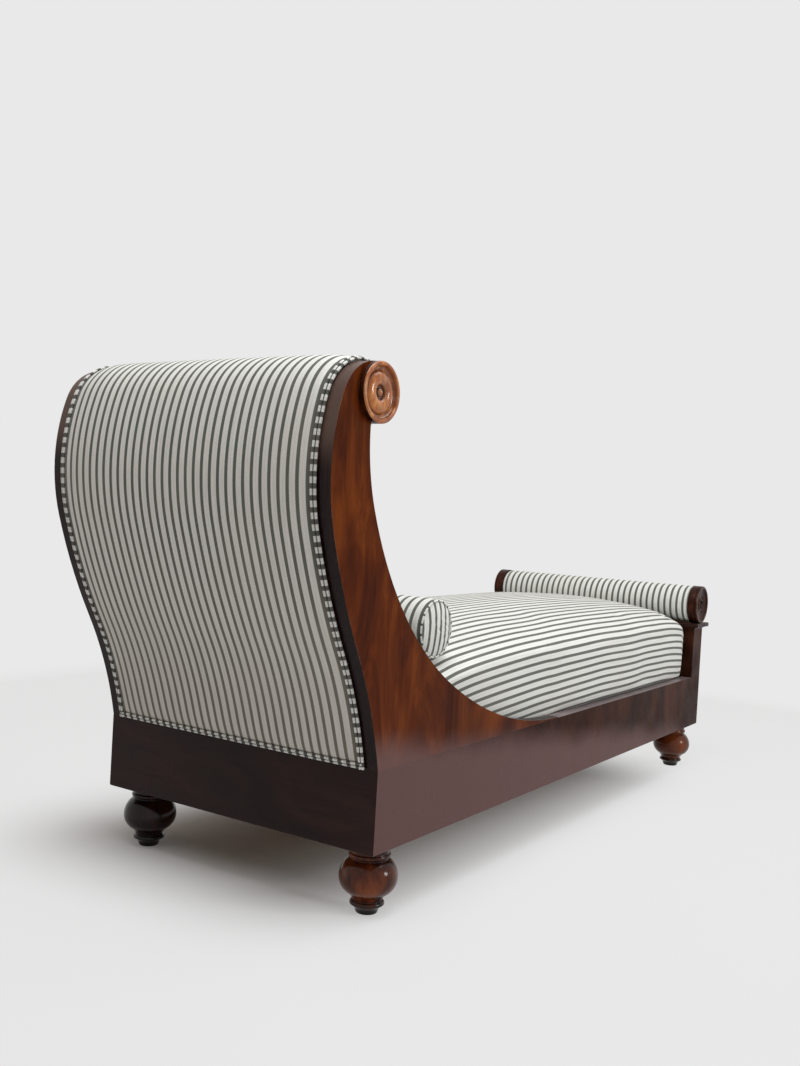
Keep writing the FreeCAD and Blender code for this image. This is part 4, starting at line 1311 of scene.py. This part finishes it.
@dataclass
class FootRoll:
    """The padded roll on the foot end, between its two turned caps."""

    pad_radius: float = 56.2 * MM
    cap_radius: float = 57.5
    cap_length: float = 30.0
    end_tuck: float = 4 * MM
    stripe_shift: float = 9.6 * MM

    def pad(self, finish: Finish) -> None:
        """The padded sleeve.

        Args:
            finish: the cloth.
        """
        axis, half = middle_of("foot_roll_pad"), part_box("foot_roll_pad")[1].y - 0.2 * MM

        def place(share: float, round_share: float) -> Vector:
            """A point of the sleeve's skin."""
            y = (share * 2 - 1) * half
            out = self.pad_radius - self.end_tuck * math.exp(-(half - abs(y)) / 0.004)
            turn = round_share * FULL_TURN
            out += noise.noise(Vector((y * 11, math.cos(turn) * 2, math.sin(turn) * 2))) * 0.5 * MM
            return around(axis, turn, out, y - axis.y)

        round_the_roll = stripes(2 * half, FULL_TURN * self.pad_radius, self.stripe_shift - half)
        made = sealed(cloth_grid(140, 64, place, round_the_roll))
        sleeve = piece_from("foot_roll_cloth", made, finish, 80.0)
        settle(sleeve, "foot_roll_pad")

    def cap(self, side: Side, finish: Finish) -> None:
        """A turned cap: a ring groove round it and a dished face with a button.

        Args:
            side: the long side that it faces.
            finish: its polish.
        """
        radius, long = self.cap_radius, self.cap_length
        template = Turning(0, 0).to((radius - 1, 0), (radius, 1), (radius, long - 9), (radius - 2, long - 8),
                                    (radius - 2, long - 7), (radius, long - 6), (radius, long - 1.5))
        template.to((radius - 2, long), (radius - 8, long), (radius - 9.5, long - 4))
        template.round_to(19, long - 5, 34).round_to(13, long - 5, -3.4, 7)
        template.to((12, long - 9), (8.5, long - 9)).round_to(0, long - 3.5, -9, 7)
        made = template.turned(0.6, 72, outward(side, "roll_caps", long))
        cap = piece_from(f"{side.word}_turned_roll_cap", made, finish, 40.0)
        settle(cap, "roll_caps", slot="turned_mahogany")

    def build(self, finishes: Finishes) -> None:
        """Makes the roll.

        Args:
            finishes: every finish, by its short name.
        """
        self.pad(finishes["ticking"])
        for side in Side:
            self.cap(side, finishes["cap"])


@dataclass
class Turnery:
    """The turned feet under the base and the rosettes on the scroll heads."""

    foot_height: float = 128.0
    rosette_radius: float = 53.0
    rosette_depth: float = 14.0

    def foot(self, name: str, x: float, y: float, finish: Finish) -> None:
        """A bun foot: plain neck, collar, groove, ball, hollow and base ring.

        Args:
            name: the piece's name.
            x: where it stands.
            y: where it stands.
            finish: its polish.
        """
        template = Turning(0, self.foot_height).to((37, self.foot_height), (37, 115), (37.5, 113))
        template.round_to(38.5, 105, 5).to((36, 103.5), (36, 101.5), (39.5, 99.5)).round_to(55, 67, 40.8, 10)
        template.round_to(39, 38, 34.3, 9).round_to(28.3, 25.5, -27.8, 6)
        template.to((28.3, 24.5)).round_to(32.5, 18.5, 7, 5).to((32.3, 16.5)).round_to(22, 6, -16, 6)
        template.to((20.5, 1.2), (19, 0), (0, 0))
        made = template.turned(0.8, 64, Matrix.Translation((x, y, 0)))
        settle(piece_from(name, made, finish, 40.0), "bun_feet", slot="mahogany")

    def rosette(self, side: Side, finish: Finish, edge: Finish) -> None:
        """A rosette: flat rim, cove, full round ring and a button in a small cup.

        Args:
            side: the long side that it faces.
            finish: its polish.
            edge: the darker polish round its rim.
        """
        radius, deep = self.rosette_radius, self.rosette_depth
        template = Turning(0, 0).to((radius - 1.5, 0), (radius, 1.5), (radius, deep - 2.5))
        template.round_to(radius - 3, deep, -3, 5).to((radius - 6.5, deep), (radius - 8, deep - 4))
        template.round_to(38, deep - 9, 6, 6).round_to(23, deep - 1, -16, 12)
        template.round_to(13.5, deep - 5, -12, 7).to((12.5, deep - 10), (7.6, deep - 10), (7.2, deep - 7))
        template.round_to(0, deep - 2.5, -8, 7)
        made = template.turned(0.5, 80, outward(side, "scroll_rosettes", deep))
        rosette = piece_from(f"{side.word}_turned_rosette", made, finish, 40.0)
        rosette.data.materials.append(edge)
        for face in rosette.data.polygons:
            face.material_index = int(abs(face.normal.y) < 0.25 and face.area > 0.00002)
        settle(rosette, "scroll_rosettes", slot="turned_mahogany")

    def build(self, finishes: Finishes) -> None:
        """Makes the feet and the rosettes.

        Args:
            finishes: every finish, by its short name.
        """
        for mount in frame["record"]["mounts"]:
            name, (x, y, _) = mount["name"], mount["pos_m"]
            # The far feet take the darker copy of the polish, which is painted shade.
            finish = finishes["far_foot" if name.startswith("far") else "near_foot"]
            self.foot(name.replace("_foot_base", "_turned_foot"), x, y, finish)
        for side in Side:
            self.rosette(side, finishes["rosette"], finishes["cap"])


class Woodwork:
    """The boards and rails, which keep their own solids and get finishes and softened arrises."""

    ARRIS = 0.9 * MM
    HIDDEN_ARRIS = 1.2 * MM
    # The rails' edge faces take the ledge finish, which is a painted sheen.
    EDGED = {"side_rail": ("rail", "ledge", ARRIS), "scroll_panel": ("panel", "band", 1.5 * MM)}
    PLAIN = {"near_foot_post": "post", "far_foot_post": "post", "head_apron": "apron", "foot_rail": "post",
             "foot_cap_rail": "apron", "foot_cap_moulding": "apron", "foot_board": "post"}
    HIDDEN = ("back_lower_rail", "back_middle_rail", "back_upper_rail", "foot_roll_core", "foot_roll_cradle",
              "top_roller")
    HIDDEN_PAIRS = ("back_batten", "head_corner_block", "foot_corner_block", "seat_cleat")
    SEAT_MEMBERS = ("near_member", "far_member", "head_member", "foot_member", "cross_member_1",
                    "cross_member_2")

    def soften(self, node: Piece, width: float, worn: int) -> None:
        """Rounds a board's arrises, and gives them their own material slot.

        Args:
            node: the board.
            width: the softening's width.
            worn: the arrises' material slot.
        """
        weld = node.modifiers.new("joined_faces", "WELD")
        weld.merge_threshold = MERGE
        bevel = node.modifiers.new("soft_arris", "BEVEL")
        bevel.width = width
        bevel.segments = 2
        bevel.limit_method = "ANGLE"
        bevel.angle_limit = math.radians(35)
        bevel.harden_normals = True
        bevel.material = worn

    def dress(self, name: str, materials: Sequence[Finish], width: float) -> None:
        """Puts one finish on a node, or one on its faces, one on its edges and one on its arrises.

        Args:
            name: the node's name.
            materials: for its faces, its edges and its arrises, or one for all.
            width: the softening's width.
        """
        node = frame["nodes"][name]
        mesh = node.data
        if mesh.has_custom_normals:
            mesh.attributes.remove(mesh.attributes["custom_normal"])
        mesh.shade_smooth()
        mesh.materials.clear()
        for material in materials:
            mesh.materials.append(material)
        if len(materials) > 1:
            for face in mesh.polygons:
                face.material_index = int(abs(face.normal.y) < 0.5)
        self.soften(node, width, len(materials) - 1)
        LOG.info("%s: finished in %s", name, materials[0].name)

    def build(self, finishes: Finishes) -> None:
        """Dresses every wooden node that stays.

        Args:
            finishes: every finish, by its short name.
        """
        for side in Side:
            for board, (face, edge, arris) in self.EDGED.items():
                self.dress(f"{side.word}_{board}", (finishes[face], finishes[edge], finishes["worn"]), arris)
        for name, finish in self.PLAIN.items():
            self.dress(name, (finishes[finish],), self.ARRIS)
        pairs = [f"{side.word}_{part}" for part in self.HIDDEN_PAIRS for side in Side]
        members = [f"seat_frame_{part}" for part in self.SEAT_MEMBERS]
        for name in (*self.HIDDEN, *pairs, *members):
            self.dress(name, (finishes["beech"],), self.HIDDEN_ARRIS)


@dataclass
class Suspension:
    """The webbing and hessian under the seat and in the back, as stretched strips of cloth."""

    strap_width: float = 50 * MM
    strap_thickness: float = 1.6 * MM
    hessian_thickness: float = 0.8 * MM

    def strap(self, start: Vector, end: Vector, wide: Vector) -> Shape:
        """One flat strap with a slight sag and wavy edges, from start to end.

        Args:
            start: the middle of one end.
            end: the middle of the other.
            wide: from one edge to the other.

        Returns:
            The strap.
        """
        def place(share: float, width_share: float) -> Vector:
            """A point of the strap."""
            sag = Vector((0, 0, math.sin(math.pi * share) * 0.6 * MM))
            wave = noise.noise(Vector((share * 20, width_share * 3, start.x))) * 0.3 * MM
            return start.lerp(end, share) + wide * (width_share - 0.5) - sag + wide.normalized() * wave

        return cloth_grid(24, 3, place, stripes(self.strap_width, (end - start).length, turned=True))

    def strips(self, name: str, node: str, runs: Sequence[tuple[Vector, Vector, Vector]], finish: Finish) -> None:
        """A set of straps as one piece.

        Args:
            name: the piece's name.
            node: the node that it stands for.
            runs: start, end and width vector of each strap.
            finish: its cloth.
        """
        whole = bmesh.new()
        total = 0.0
        spare = bpy.data.meshes.new("strap")
        for start, end, wide in runs:
            single = self.strap(start, end, wide)
            single.to_mesh(spare)
            single.free()
            whole.from_mesh(spare)
            total += (end - start).length
        bpy.data.meshes.remove(spare)
        bmesh.ops.recalc_face_normals(whole, faces=whole.faces)
        straps = piece_from(name, whole, finish)
        thicken(straps, self.strap_thickness)
        settle(straps, node, slot="webbing")

    def spaced(self, low: float, high: float, count: int) -> list[float]:
        """The middles of straps set evenly between two edges."""
        half = self.strap_width / 2
        return [low + half + (high - low - 2 * half) * i / (count - 1) for i in range(count)]

    def seat_webbing(self, finish: Finish) -> None:
        """The straps lengthwise and crosswise under the seat.

        Args:
            finish: the webbing.
        """
        low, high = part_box("seat_webbing_lengthwise")
        level, wide = (low.z + high.z) / 2, Vector((0, self.strap_width, 0))
        runs = [(Vector((low.x, y, level)), Vector((high.x, y, level)), wide)
                for y in self.spaced(low.y, high.y, 5)]
        self.strips("lengthwise_webbing", "seat_webbing_lengthwise", runs, finish)
        low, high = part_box("seat_webbing_crosswise")
        level, wide = (low.z + high.z) / 2 + 0.2 * MM, Vector((self.strap_width, 0, 0))
        runs = [(Vector((x, low.y, level)), Vector((x, high.y, level)), wide)
                for x in self.spaced(low.x, high.x, 14)]
        self.strips("crosswise_webbing", "seat_webbing_crosswise", runs, finish)

    def back_webbing(self, finish: Finish) -> None:
        """The upright straps over the fronts of the cross rails.

        Args:
            finish: the webbing.
        """
        low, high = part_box("inner_back_webbing")
        wide = Vector((0, self.strap_width, 0))
        fronts = []
        for rail in ("back_lower_rail", "back_middle_rail", "back_upper_rail"):
            rail_low, rail_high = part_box(rail)
            fronts.append(Vector((rail_high.x + 0.6 * MM, 0, (rail_low.z + rail_high.z) / 2)))
        fronts[0].z, fronts[-1].z = low.z, high.z
        fronts[0].x, fronts[-1].x = high.x - 3 * MM, low.x + 5 * MM
        runs = []
        for y in self.spaced(low.y, high.y, 4):
            beside = Vector((0, y, 0))
            runs += [(a + beside, b + beside, wide) for a, b in zip(fronts, fronts[1:])]
        self.strips("upright_webbing", "inner_back_webbing", runs, finish)

    def hessian(self, finish: Finish) -> None:
        """The hessian over the seat's webbing.

        Args:
            finish: the cloth.
        """
        low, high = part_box("seat_hessian")

        def place(share: float, width_share: float) -> Vector:
            """A point of the sheet."""
            x, y = low.x + (high.x - low.x) * share, low.y + (high.y - low.y) * width_share
            return Vector((x, y, (low.z + high.z) / 2 + noise.noise(Vector((x * 8, y * 8, 1.0))) * 0.2 * MM))

        sheet = piece_from("hessian_sheet", cloth_grid(60, 24, place, stripes(1.0, 1.0, turned=True)), finish)
        thicken(sheet, self.hessian_thickness)
        settle(sheet, "seat_hessian", slot="hessian")

    def build(self, finishes: Finishes) -> None:
        """Makes the straps and the hessian.

        Args:
            finishes: every finish, by its short name.
        """
        self.seat_webbing(finishes["webbing"])
        self.back_webbing(finishes["webbing"])
        self.hessian(finishes["hessian"])


@dataclass
class Studio:
    """A pale floor without a horizon, soft lamps and the camera."""

    pale: Colour = shade(233, 233, 233)
    floor_colour: Colour = shade(225, 226, 228)
    floor_radius: float = 30.0
    shadow_patch: tuple[Pair, Pair] = ((-0.05, 0.6), (0.15, 0.2))
    ambient: float = 0.32
    warm: Colour = (1.0, 0.88, 0.78)
    cool: Colour = (0.96, 0.985, 1.0)
    lens: float = 47.86
    camera_place: tuple[float, float, float] = (-2.34955, -1.3794, 0.7351)
    yaw: float = math.radians(33.4511)
    pitch: float = math.radians(-1.0086)
    roll: float = math.radians(3.2821)

    def floor(self) -> None:
        """The floor, which fades into the background away from the daybed."""
        made = bmesh.new()
        bmesh.ops.create_circle(made, cap_ends=True, segments=96, radius=self.floor_radius)
        wiring = Wiring.named("studio_floor")
        where = wiring.where()
        squares = []
        for part, (middle, reach) in zip(wiring.parts(where), self.shadow_patch):
            off = wiring.math("ABSOLUTE", wiring.math("SUBTRACT", part, middle))
            beyond = wiring.math("MAXIMUM", wiring.math("SUBTRACT", off, reach), 0.0)
            squares.append(wiring.math("MULTIPLY", beyond, beyond))
        away = wiring.math("SQRT", wiring.math("ADD", *squares))
        close, distant = wiring.spread(away, 0.0, 0.45, 0.0, 0.85), wiring.spread(away, 0.6, 2.1)
        lift = wiring.math("MAXIMUM", close, distant)
        mottle = wiring.spread(wiring.noise(where, 2.0, 4.0), 0.3, 0.7)
        darker = tuple(part * 0.97 for part in self.floor_colour)
        matt = wiring.fed("BsdfDiffuse", Color=wiring.mix(mottle, self.floor_colour, darker))
        glow = wiring.fed("Emission", Color=self.pale)
        faded = wiring.either(wiring.math("MULTIPLY", lift, wiring.seen()), matt, glow)
        piece_from("studio_floor_disc", made, wiring.end(faded))

    def sky(self) -> None:
        """Even light from all round, and the pale background that the camera sees."""
        world = bpy.data.worlds.new("studio")
        bpy.context.scene.world = world
        wiring = Wiring(world)
        lit = wiring.fed("Background", Color=self.warm, Strength=self.ambient)
        background = wiring.fed("Background", Color=self.pale)
        wiring.end(wiring.either(wiring.seen(), lit, background), "OutputWorld")

    def lamp(self, name: str, place: tuple[float, float, float], size: float, power: float) -> None:
        """A soft square lamp aimed at the middle of the daybed.

        Args:
            name: the lamp's name.
            place: where it hangs.
            size: length of its side.
            power: its power in watts.
        """
        light = bpy.data.lights.new(name, "AREA")
        light.size = size
        light.energy = power
        light.color = self.cool
        holder = bpy.data.objects.new(name, light)
        holder.location = place
        aim = Vector((0.0, 0.0, 0.4)) - Vector(place)
        holder.rotation_euler = aim.to_track_quat("-Z", "Y").to_euler()
        bpy.context.scene.collection.objects.link(holder)

    def camera(self) -> None:
        """The camera, at the height and turn from which the daybed is seen."""
        ahead = Vector((math.cos(self.pitch) * math.cos(self.yaw), math.cos(self.pitch) * math.sin(self.yaw),
                        math.sin(self.pitch)))
        level = Vector((math.sin(self.yaw), -math.cos(self.yaw), 0))
        above = level.cross(ahead)
        right = level * math.cos(self.roll) + above * math.sin(self.roll)
        up = above * math.cos(self.roll) - level * math.sin(self.roll)
        data = bpy.data.cameras.new("view")
        data.lens = self.lens
        data.sensor_width = 36.0
        data.sensor_fit = "HORIZONTAL"
        data.clip_end = 100.0
        camera = bpy.data.objects.new("view", data)
        columns = (right, up, -ahead, Vector(self.camera_place))
        camera.matrix_world = Matrix([[column[i] for column in columns] for i in range(3)] + [[0, 0, 0, 1]])
        bpy.context.scene.collection.objects.link(camera)
        bpy.context.scene.camera = camera

    def build(self) -> None:
        """Sets the studio up."""
        self.floor()
        self.sky()
        self.lamp("overhead", (0.6, -1.0, 3.5), size=2.2, power=36.0)
        self.lamp("head_skylight", (-1.2, -0.5, 3.5), size=1.8, power=64.0)
        self.lamp("near_window", (0.9, -4.2, 1.7), size=0.9, power=54.0)
        self.camera()
        bpy.context.scene.view_settings.view_transform = "Standard"


def main() -> None:
    """Builds and dresses the daybed, and reports each piece."""
    logging.basicConfig(level=logging.INFO, format="%(name)s: %(message)s")
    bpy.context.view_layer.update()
    finishes = finish_all()
    Studio().build()
    HeadEnd(BackLine()).build(finishes)
    bolster = Bolster()
    Seat(bolster).build(finishes)
    bolster.build(finishes)
    FootRoll().build(finishes)
    Turnery().build(finishes)
    Woodwork().build(finishes)
    Suspension().build(finishes)


if __name__ == "__main__":
    main()
